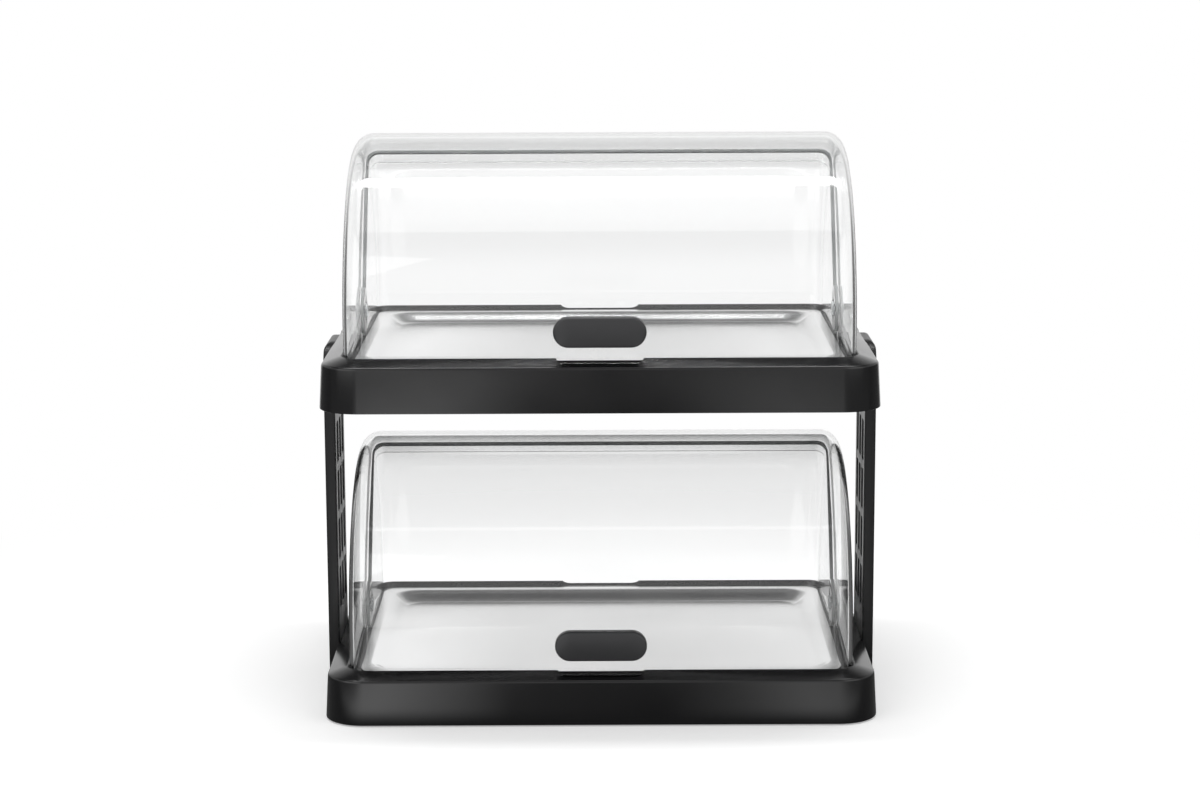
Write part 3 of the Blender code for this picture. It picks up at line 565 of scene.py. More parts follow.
def base_rings():
    """Rings of the base shell, from the basin floor over the rim to the skirt and back underneath."""
    outer_x, outer_y = BASE_WIDTH / 2, BASE_DEPTH / 2
    floor_x, floor_y = BASIN_HALF_X - BASIN_DRAFT, BASIN_HALF_Y - BASIN_DRAFT
    floor_corner = BASIN_CORNER_RADIUS - BASIN_DRAFT
    rings = []

    def ring(half_x, half_y, radius, offset, z):
        rings.append(rounded_rectangle(half_x + offset, half_y + offset, radius + offset, z))

    ring(floor_x, floor_y, floor_corner, -BASIN_CHAMFER, BASIN_FLOOR)
    ring(floor_x, floor_y, floor_corner, 0, BASIN_FLOOR + BASIN_CHAMFER)
    ring(BASIN_HALF_X, BASIN_HALF_Y, BASIN_CORNER_RADIUS, 0, SEAT_HEIGHT)
    ring(RIM_HALF_X, RIM_HALF_Y, RIM_CORNER_RADIUS, 0, SEAT_HEIGHT)
    for offset, z in arc((RIM_EDGE_ROUND, RIM_HEIGHT - RIM_EDGE_ROUND), RIM_EDGE_ROUND, math.pi,
                         math.pi / 2 - RIM_LEAN, EDGE_STEPS):
        ring(RIM_HALF_X, RIM_HALF_Y, RIM_CORNER_RADIUS, offset, z)
    shoulder = SHOULDER_HEIGHT - (SHOULDER_ROUND - SHOULDER_RADIUS) * math.cos(RIM_LEAN)
    for offset, z in arc((-BASE_DRAFT - SHOULDER_ROUND, shoulder), SHOULDER_ROUND,
                         math.pi / 2 - RIM_LEAN, 0, 2 * EDGE_STEPS):
        ring(outer_x, outer_y, BASE_CORNER_RADIUS, offset, z)
    for offset, z in arc((-BASE_FOOT_ROUND, BASE_FOOT_ROUND), BASE_FOOT_ROUND, 0, -math.pi / 2, EDGE_STEPS):
        ring(outer_x, outer_y, BASE_CORNER_RADIUS, offset, z)
    ring(outer_x, outer_y, BASE_CORNER_RADIUS, -BASE_WALL, 0)
    ring(outer_x, outer_y, BASE_CORNER_RADIUS, -BASE_DRAFT - BASE_WALL, SHOULDER_HEIGHT - BASE_WALL / 2)
    under_seat = SEAT_HEIGHT - BASE_WALL
    ring(RIM_HALF_X, RIM_HALF_Y, RIM_CORNER_RADIUS, BASE_WALL, SEAT_HEIGHT)
    ring(RIM_HALF_X, RIM_HALF_Y, RIM_CORNER_RADIUS, BASE_WALL, under_seat)
    ring(BASIN_HALF_X, BASIN_HALF_Y, BASIN_CORNER_RADIUS, BASE_WALL, under_seat)
    ring(floor_x, floor_y, floor_corner, BASE_WALL, BASIN_FLOOR + BASIN_CHAMFER - BASE_WALL)
    ring(floor_x, floor_y, floor_corner, BASE_WALL - BASIN_CHAMFER, BASIN_FLOOR - BASE_WALL)
    return rings


def pocket_pad(side):
    """Backing under a finger recess, a bar whose section follows the sloping rim."""
    foot = RIM_HEIGHT - POCKET_DEPTH - POCKET_WALL
    inner = RIM_HALF_Y + BASE_WALL / 6
    outer = RIM_HALF_Y + POCKET_REACH + POCKET_WALL / 2
    section = (
        (inner, foot),
        (outer, foot),
        (outer, SHOULDER_HEIGHT + SHOULDER_RADIUS / 2),
        (RIM_HALF_Y + BASE_WALL * 2 / 3, RIM_HEIGHT - BASE_WALL),
        (inner, SEAT_HEIGHT - BASE_WALL / 2),
    )
    half_width = POCKET_WIDTH / 2 + POCKET_WALL
    return [[Vector((x, side * y, z)) for y, z in section] for x in (-half_width, half_width)]


def pocket_cut(side):
    """A finger recess, half of a pill seen from above, open to the seat."""
    rings = []
    for z in (RIM_HEIGHT - POCKET_DEPTH, RIM_HEIGHT + OVERRUN):
        outline = [Vector((POCKET_WIDTH / 2, side * (RIM_HALF_Y - GAP), z))]
        for step in range(2 * CORNER_STEPS + 1):
            angle = math.pi * step / (2 * CORNER_STEPS)
            centre = math.copysign(POCKET_WIDTH / 2 - POCKET_REACH, math.cos(angle))
            outline.append(Vector((centre + POCKET_REACH * math.cos(angle),
                                   side * (RIM_HALF_Y + POCKET_REACH * math.sin(angle)), z)))
        outline.append(Vector((-POCKET_WIDTH / 2, side * (RIM_HALF_Y - GAP), z)))
        rings.append(outline)
    return rings


def seat_ridge():
    """Low ridge on the seat behind the front hood's lower edge, which hides the tray's edge."""
    outer = -math.sqrt((HOOD_RADIUS - HOOD_WALL) ** 2 - HOOD_SEAT ** 2) + RIDGE_HOOD_GAP
    half_x, middle = RIM_HALF_X - RIDGE_INSET, outer + RIDGE_WIDTH / 2
    rings = []
    for inset, z in ((0, -GAP), (0, RIDGE_HEIGHT - RIDGE_ROUND), (RIDGE_ROUND, RIDGE_HEIGHT)):
        rings.append(pill(inset, half_x, RIDGE_WIDTH / 2, SEAT_HEIGHT + z))
    return moved(rings, Matrix.Translation((0, middle, 0)))


def make_base(tier, finish):
    lift = Matrix.Translation((0, 0, TIER_LIFT[tier]))
    base = make_solid(f"{tier}_base_shell", [base_rings()], lift)
    pad_half_y = PANEL_WIDTH / 2 + PANEL_PAD_MARGIN
    pad_reach = BASE_WIDTH / 2 - BASE_WALL / 2 - BASE_DRAFT / 3
    recess_foot = PANEL_FOOT_HEIGHT - GAP if tier == "lower" else -OVERRUN
    recess_half_y = PANEL_WIDTH / 2 + GAP
    pad_top = SHOULDER_HEIGHT - BASE_WALL / 2
    recess_top = RIM_HEIGHT + OVERRUN
    pads, recesses = [pocket_pad(side) for side in (-1, 1)], []
    for side in (-1, 1):
        low, high = sorted((side * PAD_FACE, side * pad_reach))
        pads.append(block((low, -pad_half_y, PANEL_PAD_RISE), (high, pad_half_y, pad_top)))
        low, high = sorted((side * RECESS_FACE, side * (BASE_WIDTH / 2 + OVERRUN)))
        recesses.append(block((low, -recess_half_y, recess_foot), (high, recess_half_y, recess_top)))
    carve(base,
          ("UNION", make_solid("pads", pads, lift)),
          ("UNION", make_solid("ridge", [seat_ridge()], lift)),
          ("DIFFERENCE", make_solid("pockets", [pocket_cut(side) for side in (-1, 1)], lift)),
          ("DIFFERENCE", make_solid("recesses", recesses, lift)))
    return dress(base, "cabinet", finish, "black_base", f"{tier}_base")


# Tray

def tray_fall(share):
    """Depth of the tray's side as a share of its sink, with a soft bend at the top and at the foot."""
    bend = TRAY_BEND_REACH / TRAY_STEEP_WIDTH
    if share < bend:
        return (share + bend) ** 2 / (4 * bend)
    if share > 1 - bend:
        return 1 - (1 + bend - share) ** 2 / (4 * bend)
    return share


def tray_rings():
    """Rings of the sheet, from the middle of its upper face over the rim to the middle underneath."""
    bend = TRAY_BEND_REACH / TRAY_STEEP_WIDTH
    start = TRAY_RIM_WIDTH + (TRAY_SLOPE_WIDTH - TRAY_STEEP_WIDTH) / 2
    corner_change = TRAY_FLOOR_CORNER_RADIUS - TRAY_SLOPE_CORNER_RADIUS
    slope_x, slope_y = TRAY_HALF_X - start, TRAY_HALF_Y - start
    side = []
    for step in range(3 * EDGE_STEPS + 1):
        share = -bend + (1 + 2 * bend) * step / (3 * EDGE_STEPS)
        inset = share * TRAY_STEEP_WIDTH
        radius = TRAY_SLOPE_CORNER_RADIUS + corner_change * share
        z = TRAY_UNDERSIDE - TRAY_SINK * tray_fall(share)
        side.append((slope_x - inset, slope_y - inset, radius, z))
    edge = TRAY_SHEET / 4
    rings = [rounded_rectangle(half_x, half_y, radius, z + TRAY_SHEET)
             for half_x, half_y, radius, z in reversed(side)]
    for inset, z in ((edge, TRAY_SHEET), (0, TRAY_SHEET - edge), (0, edge), (edge, 0)):
        rings.append(rounded_rectangle(TRAY_HALF_X - inset, TRAY_HALF_Y - inset,
                                       TRAY_CORNER_RADIUS - inset, TRAY_UNDERSIDE + z))
    rings += [rounded_rectangle(half_x, half_y, radius, z) for half_x, half_y, radius, z in side]
    return rings


def make_tray(tier, finish):
    tray = make_solid(f"{tier}_tray_sheet", [tray_rings()], Matrix.Translation((0, 0, TIER_LIFT[tier])))
    return dress(tray, "cabinet", finish, "stainless_tray", f"{tier}_tray")


# Hoods

def hood_stations(half_width, radius, corner, bore):
    """Stations across the shell from hub to hub: (x, r) on the outer skin and on the inner skin."""
    half = []
    for r in (bore, EAR_RADIUS):
        half.append(((half_width, r), (half_width - HOOD_WALL, r)))
    for step in range(HOOD_CORNER_STEPS + 1):
        angle = math.pi / 2 * step / HOOD_CORNER_STEPS
        centre_x, centre_r = half_width - corner, radius - corner
        inner = corner - HOOD_WALL
        half.append(((centre_x + corner * math.cos(angle), centre_r + corner * math.sin(angle)),
                     (centre_x + inner * math.cos(angle), centre_r + inner * math.sin(angle))))
    mirrored = [tuple((-x, r) for x, r in station) for station in half]
    return mirrored + half[::-1]


def hood_angles(first, last):
    """Angles round the whole circle. The shell fills those from first to last, the ears all of them."""
    shell_steps = math.ceil((last - first) / HOOD_STEP)
    rest = 2 * math.pi - (last - first)
    rest_steps = math.ceil(rest / HOOD_STEP)
    shell = [first + (last - first) * step / shell_steps for step in range(shell_steps)]
    behind = [last + rest * step / rest_steps for step in range(rest_steps)]
    return shell + behind, shell_steps


def make_hood(name, tier, half_width, radius, corner, bore, first, last):
    """A shell turned about the pivot line, with a round ear at each end and a flat lower edge.

    Angles run from straight up towards the rear. The faces on the sheet's cut edges get the second material,
    a grey that paints the shade of the sheet's dark edge lines.
    """
    stations = hood_stations(half_width, radius, corner, bore)
    angles, shell_steps = hood_angles(first, last)
    last_strip = len(stations) - 2
    bm = bmesh.new()
    made = {}

    def present(strip, step):
        return 0 <= strip <= last_strip and (strip in (0, last_strip) or step < shell_steps)

    def vertex(station, step, skin):
        key = (station, step % len(angles), skin)
        if key not in made:
            x, r = stations[station][skin]
            angle = angles[key[1]]
            made[key] = bm.verts.new((x, r * math.sin(angle), r * math.cos(angle)))
        return made[key]

    for strip in range(last_strip + 1):
        for step in range(len(angles)):
            if not present(strip, step):
                continue
            corners = ((strip, step), (strip + 1, step), (strip + 1, step + 1), (strip, step + 1))
            for skin in (0, 1):
                bm.faces.new([vertex(*place, skin) for place in corners])
            before, after = (step - 1) % len(angles), (step + 1) % len(angles)
            neighbours = ((strip, before), (strip + 1, step), (strip, after), (strip - 1, step))
            for index, neighbour in enumerate(neighbours):
                if not present(*neighbour):
                    start, end = corners[index], corners[(index + 1) % 4]
                    edge = bm.faces.new((vertex(*start, 0), vertex(*end, 0),
                                         vertex(*end, 1), vertex(*start, 1)))
                    edge.material_index = 1

    everything = bm.verts[:] + bm.edges[:] + bm.faces[:]
    bmesh.ops.bisect_plane(bm, geom=everything, plane_co=(0, 0, HOOD_SEAT), plane_no=(0, 0, 1),
                           clear_inner=True)
    bmesh.ops.holes_fill(bm, edges=[edge for edge in bm.edges if edge.is_boundary])
    hood = make_object(name, bm, pivot_place(tier))
    round_edges(hood, HOOD_EDGE_ROUND)
    return hood


def pivot_place(tier):
    return Matrix.Translation((0, 0, TIER_LIFT[tier] + PIVOT_HEIGHT))


def make_hoods(tier, finishes):
    """The front hood, which rolls, and the rear hood. Both are HOOD_SHY inside the solids' facets."""
    front = make_hood(f"{tier}_front_hood_shell", tier, HOOD_HALF_WIDTH, HOOD_RADIUS - HOOD_SHY,
                      HOOD_CORNER_RADIUS, BUSH_RADIUS + GAP, -math.pi, FRONT_HOOD_EDGE_ANGLE)
    rear = make_hood(f"{tier}_rear_hood_shell", tier, REAR_HOOD_HALF_WIDTH, REAR_HOOD_RADIUS - HOOD_SHY,
                     REAR_HOOD_CORNER_RADIUS, PIN_RADIUS + GAP, REAR_HOOD_EDGE_ANGLE, math.pi)
    dress(front, f"{tier}_hood", finishes, "clear_hood", f"{tier}_front_hood")
    dress(rear, "cabinet", finishes, "clear_hood", f"{tier}_rear_hood")


# Pivot hardware

def along_x(side):
    """Turns local +Z to point outwards along X on the given side."""
    return Matrix.Rotation(side * math.pi / 2, 4, "Y")


def turned(profile, sides=TURNED_SIDES):
    """Rings of a turned piece from (radius, height) pairs."""
    return [circle(radius, z, sides) for radius, z in profile]


def rounded_rim(radius, z, way, size=TURNED_ROUND):
    """(radius, height) pairs that round the outer edge of a disc, from its side to its face, or back."""
    return arc((radius - size, z - way * size), size, 0, way * math.pi / 2, EDGE_STEPS)


def make_pivots(tier, finish):
    """Each side has a headed pin through both hoods, a flanged bush on it and a cap inside."""
    flange_low = HOOD_HALF_WIDTH + GAP
    flange_high = flange_low + BUSH_FLANGE_THICKNESS
    head_low = flange_high + GAP
    head_high = head_low + PIN_HEAD_THICKNESS
    cap_high = REAR_HOOD_HALF_WIDTH - HOOD_WALL - GAP
    cap_low = cap_high - CAP_THICKNESS
    sleeve_low = REAR_HOOD_HALF_WIDTH + GAP
    bore = PIN_RADIUS + GAP
    pin = [(PIN_RADIUS, cap_low), (PIN_RADIUS, head_low), (PIN_HEAD_RADIUS, head_low)]
    pin += rounded_rim(PIN_HEAD_RADIUS, head_high, 1)
    bush = [(bore, sleeve_low), (BUSH_RADIUS, sleeve_low), (BUSH_RADIUS, flange_low),
            (BUSH_FLANGE_RADIUS, flange_low), (BUSH_FLANGE_RADIUS, flange_high), (bore, flange_high)]
    cap = [(bore, cap_low)] + rounded_rim(CAP_RADIUS, cap_low, -1)[::-1]
    cap += [(CAP_RADIUS, cap_high), (bore, cap_high)]
    for side, word in SIDES:
        place = pivot_place(tier) @ along_x(side)
        made = (
            (f"{tier}_pivot_pin_{word}", pin, "cabinet", False),
            (f"{tier}_pivot_bush_{word}", bush, f"{tier}_hood", True),
            (f"{tier}_pivot_cap_{word}", cap, "cabinet", True),
        )
        for node, profile, body, closed in made:
            piece = make_solid(f"{node}_turned", [turned(profile)], place, closed)
            dress(piece, body, finish, "translucent_pivot", node)


# Handles

def pill(inset, half_x, half_y, z):
    """Outline of a bar with round ends, drawn in by inset. Its ends keep a sliver of straight edge."""
    half_x, half_y = half_x - inset, half_y - inset
    return rounded_rectangle(half_x, half_y, half_y * PILL_END_SHARE, z, CORNER_STEPS)


def handle_place(tier, x=0):
    """From the handle's own frame, whose +Z is forward from the pivot line."""
    shift = Matrix.Translation((x, 0, HANDLE_RAISE))
    return pivot_place(tier) @ shift @ Matrix.Rotation(math.pi / 2, 4, "X")


def handle_rings():
    """Bare pill-shaped grip with a rounded edge and a slightly domed face, on a narrower neck."""
    half_x, half_y = HANDLE_WIDTH / 2, HANDLE_HEIGHT / 2
    back = HOOD_RADIUS + GAP
    face = back + HANDLE_NECK_LENGTH
    front = face + HANDLE_THICKNESS

    def dome(inset):
        return front - HANDLE_DOME * (1 - inset / half_y) ** 2

    rings = [
        pill(HANDLE_NECK_INSET, half_x, half_y, back),
        pill(HANDLE_NECK_INSET, half_x, half_y, face),
        pill(TURNED_ROUND, half_x, half_y, face),
        pill(0, half_x, half_y, face + TURNED_ROUND),
    ]
    edge_top = dome(HANDLE_EDGE_ROUND)
    for inset, z in arc((HANDLE_EDGE_ROUND, edge_top - HANDLE_EDGE_ROUND), HANDLE_EDGE_ROUND, math.pi,
                        math.pi / 2 + HANDLE_EDGE_LEAN, 2 * EDGE_STEPS):
        rings.append(pill(inset, half_x, half_y, z))
    last = half_y * HANDLE_DOME_REACH
    for step in range(1, 2 * EDGE_STEPS + 1):
        inset = HANDLE_EDGE_ROUND + (last - HANDLE_EDGE_ROUND) * step / (2 * EDGE_STEPS)
        rings.append(pill(inset, half_x, half_y, dome(inset)))
    return rings


def screw_rings(head_top, tip):
    """A pan-head screw along +Z. Its head ends at head_top and its shank at tip."""
    low = head_top - SCREW_HEAD_THICKNESS
    profile = arc((SCREW_HEAD_RADIUS - SCREW_HEAD_ROUND, low + SCREW_HEAD_ROUND), SCREW_HEAD_ROUND,
                  -math.pi / 2, 0, EDGE_STEPS)
    profile += [(SCREW_HEAD_RADIUS, head_top), (SCREW_RADIUS, head_top), (SCREW_RADIUS, tip - SCREW_TIP),
                (SCREW_RADIUS - SCREW_TIP, tip)]
    return turned(profile)


def make_screw(node, body, place, head_top, tip, finish):
    """A screw with a cross recess in its head."""
    screw = make_solid(f"{node}_cross", [screw_rings(head_top, tip)], place)
    low = head_top - SCREW_HEAD_THICKNESS
    half_length, half_width = SCREW_SLOT_LENGTH / 2, SCREW_SLOT_WIDTH / 2
    slots = [block((-x, -y, low - OVERRUN), (x, y, low + SCREW_SLOT_DEPTH))
             for x, y in ((half_length, half_width), (half_width, half_length))]
    for slot in slots:
        carve(screw, ("DIFFERENCE", make_solid("slot", [slot], place)))
    dress(screw, body, finish, "screw_steel", node)


def make_handle(tier, finishes):
    body = f"{tier}_hood"
    handle = make_solid(f"{tier}_handle_grip", [handle_rings()], handle_place(tier))
    dress(handle, body, finishes["black_handle"], "black_handle", f"{tier}_handle")
    half_x = HANDLE_WIDTH / 2 - HANDLE_PLATE_INSET
    half_y = HANDLE_HEIGHT / 2 - HANDLE_PLATE_INSET
    inner_radius = HOOD_RADIUS - HOOD_WALL
    facet = inner_radius * (1 - math.cos(CAD_HOOD_STEP / 2))
    plate_front = math.sqrt(inner_radius ** 2 - (HANDLE_RAISE + half_y) ** 2) - facet - GAP
    plate_back = plate_front - HANDLE_PLATE_THICKNESS
    rings = [pill(inset, half_x, half_y, z)
             for inset, z in arc((TURNED_ROUND, plate_back + TURNED_ROUND), TURNED_ROUND, -math.pi / 2,
                                 -math.pi, EDGE_STEPS)]
    rings.append(pill(0, half_x, half_y, plate_front))
    plate = make_solid(f"{tier}_handle_backing", [rings], handle_place(tier))
    dress(plate, body, finishes["black_handle"], "black_handle", f"{tier}_handle_plate")
    for side, word in SIDES:
        make_screw(f"{tier}_handle_screw_{word}", body, handle_place(tier, side * HANDLE_SCREW_X),
                   plate_back - GAP, HOOD_RADIUS + HANDLE_SCREW_BITE, finishes["screw_steel"])


# Side panels

def panel_rings(top):
    """Rings of a side panel from its flared foot to its rounded top, with X measured outwards."""
    rings = []

    def ring(outer, half_y, z):
        half_x = (outer - PANEL_FACE) / 2
        outline = rounded_rectangle(half_x, half_y, PANEL_CORNER_RADIUS, z, EDGE_STEPS)
        rings.extend(moved([outline], Matrix.Translation((PANEL_FACE + half_x, 0, 0))))

    half_y = PANEL_WIDTH / 2
    ring(PANEL_OUTER + PANEL_FLARE, half_y, PANEL_FOOT_HEIGHT)
    ring(PANEL_OUTER + PANEL_FLARE, half_y, PANEL_FOOT_HEIGHT + PANEL_FLARE_HEIGHT / 2)
    ring(PANEL_OUTER, half_y, PANEL_FOOT_HEIGHT + PANEL_FLARE_HEIGHT)
    steps = 2 * CORNER_STEPS
    for step in range(steps + 1):
        rise = PANEL_TOP_RADIUS * math.sin(math.pi / 2 * step / steps)
        run = PANEL_TOP_RADIUS * (1 - math.cos(math.pi / 2 * step / steps))
        edge_rise = max(0.0, rise - (PANEL_TOP_RADIUS - PANEL_EDGE_RADIUS))
        edge_run = PANEL_EDGE_RADIUS - math.sqrt(max(0.0, PANEL_EDGE_RADIUS ** 2 - edge_rise ** 2))
        ring(PANEL_OUTER - edge_run, half_y - run, top - PANEL_TOP_RADIUS + rise)
    return rings


def window_cuts():
    """Rounded windows in columns and rows, cut right through a panel along X."""
    half_width = (WINDOW_COLUMN_PITCH - WINDOW_BAR) / 2
    half_height = (WINDOW_ROW_PITCH - WINDOW_BAR) / 2
    cuts = []
    for column in range(WINDOW_COLUMNS):
        y = (column - (WINDOW_COLUMNS - 1) / 2) * WINDOW_COLUMN_PITCH
        for row in range(WINDOW_ROWS):
            z = WINDOW_FIRST_SILL + half_height + row * WINDOW_ROW_PITCH
            rings = [rounded_rectangle(half_height, half_width, WINDOW_CORNER_RADIUS, depth, EDGE_STEPS)
                     for depth in (PANEL_FACE - OVERRUN, PANEL_OUTER + OVERRUN)]
            cuts.append(moved(rings, Matrix.Translation((0, y, z)) @ along_x(1)))
    return cuts


def make_side_panel(side, word, finish):
    """Lattice panel that carries the upper base on a shelf. It is made on +X and turned for -X."""
    place = Matrix.Translation((0, 0, FOOT_PROUD)) @ Matrix.Rotation(0 if side > 0 else math.pi, 4, "Z")
    panel = make_solid(f"{word}_lattice", [panel_rings(TIER_PITCH + PANEL_RISE)], place)
    shelf_top = TIER_PITCH + PANEL_PAD_RISE - GAP
    shelf_half_y = PANEL_WIDTH / 2 - SHELF_INSET
    shelf = block((PANEL_FACE - SHELF_REACH, -shelf_half_y, shelf_top - SHELF_THICKNESS),
                  (PANEL_FACE + PANEL_THICKNESS / 2, shelf_half_y, shelf_top))
    carve(panel,
          ("UNION", make_solid("shelf", [shelf], place)),
          ("DIFFERENCE", make_solid("windows", window_cuts(), place)))
    round_edges(panel, WINDOW_EDGE_ROUND, PANEL_BEVEL_ANGLE)
    return dress(panel, "cabinet", finish, "black_panel", f"{word}_side_panel")


def make_panel_screws(tier, finish):
    for side, word in SIDES:
        for along, end in ENDS:
            place = Matrix.Translation((0, along * PANEL_SCREW_Y, TIER_LIFT[tier] + PANEL_SCREW_HEIGHT))
            make_screw(f"{tier}_panel_screw_{word}_{end}", "cabinet", place @ along_x(side),
                       PAD_FACE - GAP, PANEL_FACE + PANEL_SCREW_BITE, finish)


def make_feet(finish):
    top = FOOT_PROUD + BASIN_FLOOR - BASE_WALL - GAP
    profile = rounded_rim(FOOT_RADIUS, 0, -1)[::-1] + [(FOOT_RADIUS, top)]
    reach_x, reach_y = BASE_WIDTH / 2 - FOOT_INSET, BASE_DEPTH / 2 - FOOT_INSET
    for side, word in SIDES:
        for along, end in ENDS:
            place = Matrix.Translation((side * reach_x, along * reach_y, 0))
            foot = make_solid(f"foot_{word}_{end}_turned", [turned(profile)], place)
            dress(foot, "cabinet", finish, "foot_rubber", f"foot_{word}_{end}")


def make_cool_packs(tier, finish):
    """The packs keep their CAD shape and get their own finish."""
    for _, word in SIDES:
        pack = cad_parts[f"{tier}_cool_pack_{word}"]
        pack.data.materials.clear()
        pack.data.materials.append(finish)


# Studio

def slide(node, value, start, end, low=0.0, high=1.0):
    """A number that goes smoothly from low to high while a value goes from start to end."""
    made = node("MapRange", {"Value": value, "From Min": start, "From Max": end,
                             "To Min": low, "To Max": high}, interpolation_type="SMOOTHSTEP")
    return made.outputs["Result"]


def calculate(node, operation, first, second):
    return node("Math", {0: first, 1: second}, operation=operation).outputs[0]


def choose(node, share, low, high):
    """A number between low, at a share of 0, and high, at a share of 1."""
    return node("Mix", {0: share, 2: low, 3: high}).outputs[0]


def soft_steps(node, value, steps):
    """Light levels along a line, from (place, level) pairs."""
    first, last = steps[0][0], steps[-1][0]
    top = max(level for _, level in steps)
    share = node("MapRange", {"Value": value, "From Min": first, "From Max": last}).outputs["Result"]
    ramp = node("ValToRGB", {"Fac": share})
    elements = ramp.color_ramp.elements
    while len(elements) < len(steps):
        elements.new(0.5)
    for element, (place, level) in zip(elements, steps):
        element.position = (place - first) / (last - first)
        element.color = (level / top, level / top, level / top, 1)
    return calculate(node, "MULTIPLY", ramp.outputs["Color"], top)


def straight_and_mirrored(node):
    """Whether a ray comes from the eye or through glass, and whether it was mirrored once or twice."""
    rays = node("LightPath")
    mirrored = calculate(node, "GREATER_THAN", rays.outputs["Glossy Depth"], 0.5)
    again = calculate(node, "GREATER_THAN", rays.outputs["Glossy Depth"], 1.5)
    direct = calculate(node, "MAXIMUM", rays.outputs["Is Camera Ray"], rays.outputs["Is Transmission Ray"])
    return direct, mirrored, again


def make_floor():
    """A white floor that keeps the object's soft shadow. Away from the object it is plain white to the eye.

    What the object mirrors of it in front is darker in the middle, where the camera stands.
    """
    bm = bmesh.new()
    corners = ((-FLOOR_HALF, -FLOOR_HALF, 0), (FLOOR_HALF, -FLOOR_HALF, 0),
               (FLOOR_HALF, FLOOR_HALF, 0), (-FLOOR_HALF, FLOOR_HALF, 0))
    bm.faces.new([bm.verts.new(corner) for corner in corners])
    floor = make_object("floor", bm)
    material, shader, node = new_material("floor_look")
    tree = material.node_tree
    set_shader(material, shader, Base_Color=(*FLOOR_COLOUR, 1), Roughness=1.0, Specular_IOR_Level=0.0)
    direct, mirrored, _ = straight_and_mirrored(node)
    place = node("TexCoord").outputs["Object"]
    split = node("SeparateXYZ", {"Vector": place})
    x, y = split.outputs["X"], split.outputs["Y"]
    distance = node("VectorMath", {0: place}, operation="LENGTH").outputs["Value"]
    away = slide(node, distance, FLOOR_NEAR, FLOOR_FAR)
    front = slide(node, y, -BASE_DEPTH / 2, -BASE_DEPTH / 2 - FLOOR_FRONT_BLEND)
    spread = node("Math", {0: y, 1: FLOOR_SPREAD_RATE, 2: FLOOR_SPREAD_START},
                  operation="MULTIPLY_ADD").outputs[0]
    level = soft_steps(node, calculate(node, "DIVIDE", x, spread), FLOOR_LEVELS)
    shown = calculate(node, "MULTIPLY", mirrored, front)
    behind = slide(node, calculate(node, "DIVIDE", y, distance), *STUDIO_BACK, STUDIO_DARK, 1.0)
    behind = choose(node, mirrored, 1.0, behind)
    white = node("Emission", {"Strength": choose(node, shown, behind, level)})
    glow = node("Emission", {"Strength": calculate(node, "MULTIPLY", direct, FLOOR_LIFT)})
    near = node("AddShader", {0: shader.outputs["BSDF"], 1: glow.outputs[0]})
    share = calculate(node, "MAXIMUM", calculate(node, "MULTIPLY", direct, away), mirrored)
    mix = node("MixShader", {0: share, 1: near.outputs[0], 2: white.outputs[0]})
    tree.links.new(mix.outputs[0], tree.nodes["Material Output"].inputs["Surface"])
    floor.data.materials.append(material)


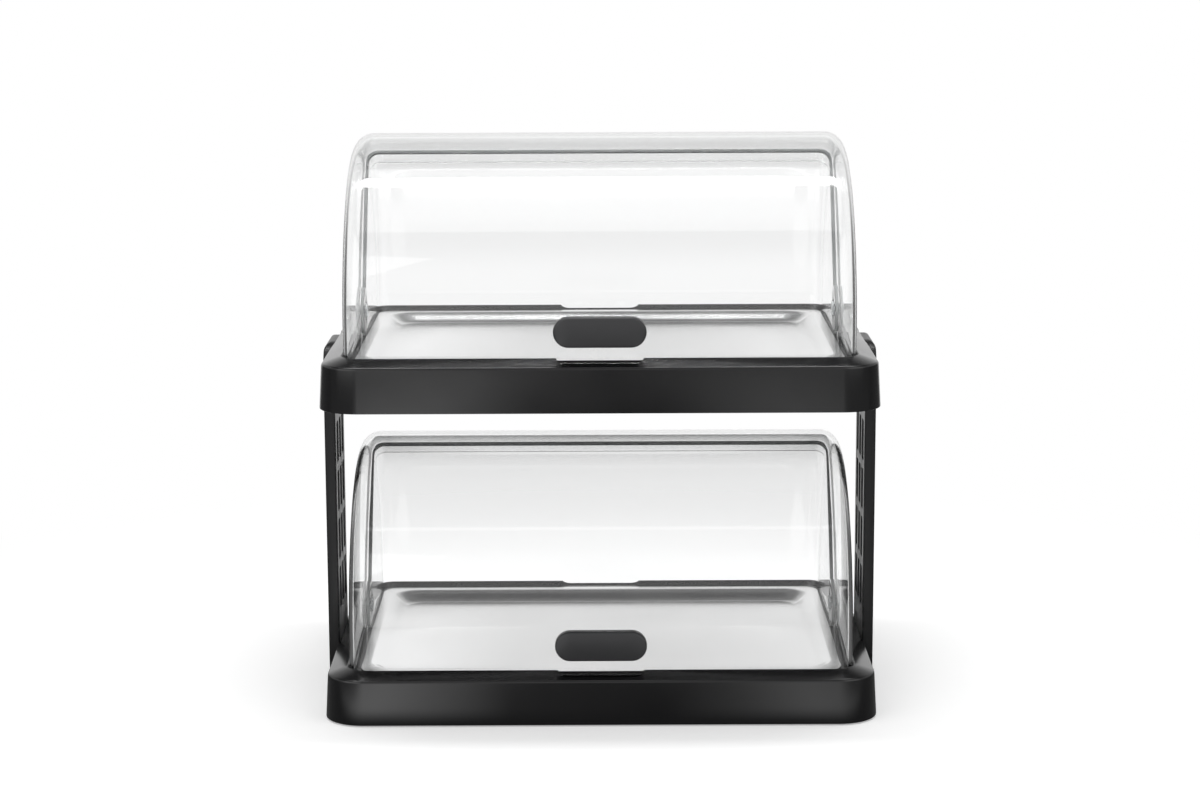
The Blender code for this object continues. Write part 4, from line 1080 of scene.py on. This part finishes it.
def make_world():
    """White to the eye and through the hoods. What is mirrored is a studio with lit and dark parts."""
    world = bpy.data.worlds.new("studio")
    bpy.context.scene.world = world
    world.use_nodes = True
    tree = world.node_tree
    node = node_helper(tree)
    direct, mirrored, again = straight_and_mirrored(node)
    split = node("SeparateXYZ", {"Vector": node("TexCoord").outputs["Generated"]})
    x, y, z = (split.outputs[axis] for axis in "XYZ")
    ambient = slide(node, y, *AMBIENT_TURN, AMBIENT_FRONT, AMBIENT_BACK)
    back = slide(node, y, *STUDIO_BACK)
    low = calculate(node, "MULTIPLY", slide(node, y, *LOW_FRONT), soft_steps(node, x, FRONT_LEVELS))
    high = slide(node, y, *STUDIO_TURN, STUDIO_FRONT, STUDIO_SIDE)
    walls = choose(node, slide(node, z, *LOW_TO_HIGH), low, high)
    walls = calculate(node, "MULTIPLY", walls, slide(node, z, *CEILING_FADE))
    studio = calculate(node, "MAXIMUM", calculate(node, "MAXIMUM", back, walls), STUDIO_DARK)
    dimmed = calculate(node, "MULTIPLY", studio, choose(node, again, 1.0, TWICE_MIRRORED))
    plain = choose(node, direct, ambient, 1.0)
    strength = choose(node, mirrored, plain, dimmed)
    background = tree.nodes["Background"]
    background.inputs["Color"].default_value = (1, 1, 1, 1)
    tree.links.new(strength, background.inputs["Strength"])


def make_lamp(name, place, target, size, power):
    """A soft rectangular lamp that faces a target."""
    data = bpy.data.lights.new(name, "AREA")
    data.shape = "RECTANGLE"
    data.size, data.size_y = size
    data.energy = power
    lamp = bpy.data.objects.new(name, data)
    bpy.context.scene.collection.objects.link(lamp)
    lamp.location = place
    lamp.rotation_mode = "QUATERNION"
    lamp.rotation_quaternion = (Vector(target) - Vector(place)).to_track_quat("-Z", "Y")
    lamp.visible_camera = False


def make_studio():
    make_floor()
    make_world()
    for lamp in LAMPS:
        make_lamp(*lamp)


def make_camera():
    data = bpy.data.cameras.new("camera")
    data.lens, data.sensor_width = LENS, SENSOR_WIDTH
    camera = bpy.data.objects.new("camera", data)
    bpy.context.scene.collection.objects.link(camera)
    camera.location = CAMERA_PLACE
    level = Matrix.Rotation(math.pi / 2 - CAMERA_TILT, 3, "X")
    camera.rotation_euler = (level @ Matrix.Rotation(CAMERA_ROLL, 3, "Z")).to_euler()
    bpy.context.scene.camera = camera


def main():
    finishes = make_finishes()
    for tier in TIERS:
        make_base(tier, finishes["black_base"])
        make_tray(tier, finishes["stainless_tray"])
        make_cool_packs(tier, finishes["cool_pack"])
        make_hoods(tier, (finishes["clear_hood"], finishes["milky_edge_painted_shade"]))
        make_pivots(tier, finishes["translucent_pivot"])
        make_handle(tier, finishes)
        make_panel_screws(tier, finishes["screw_steel"])
    for side, word in SIDES:
        make_side_panel(side, word, finishes["black_panel"])
    make_feet(finishes["foot_rubber"])
    make_studio()
    make_camera()
    bpy.context.scene.view_settings.view_transform = "Standard"


main()
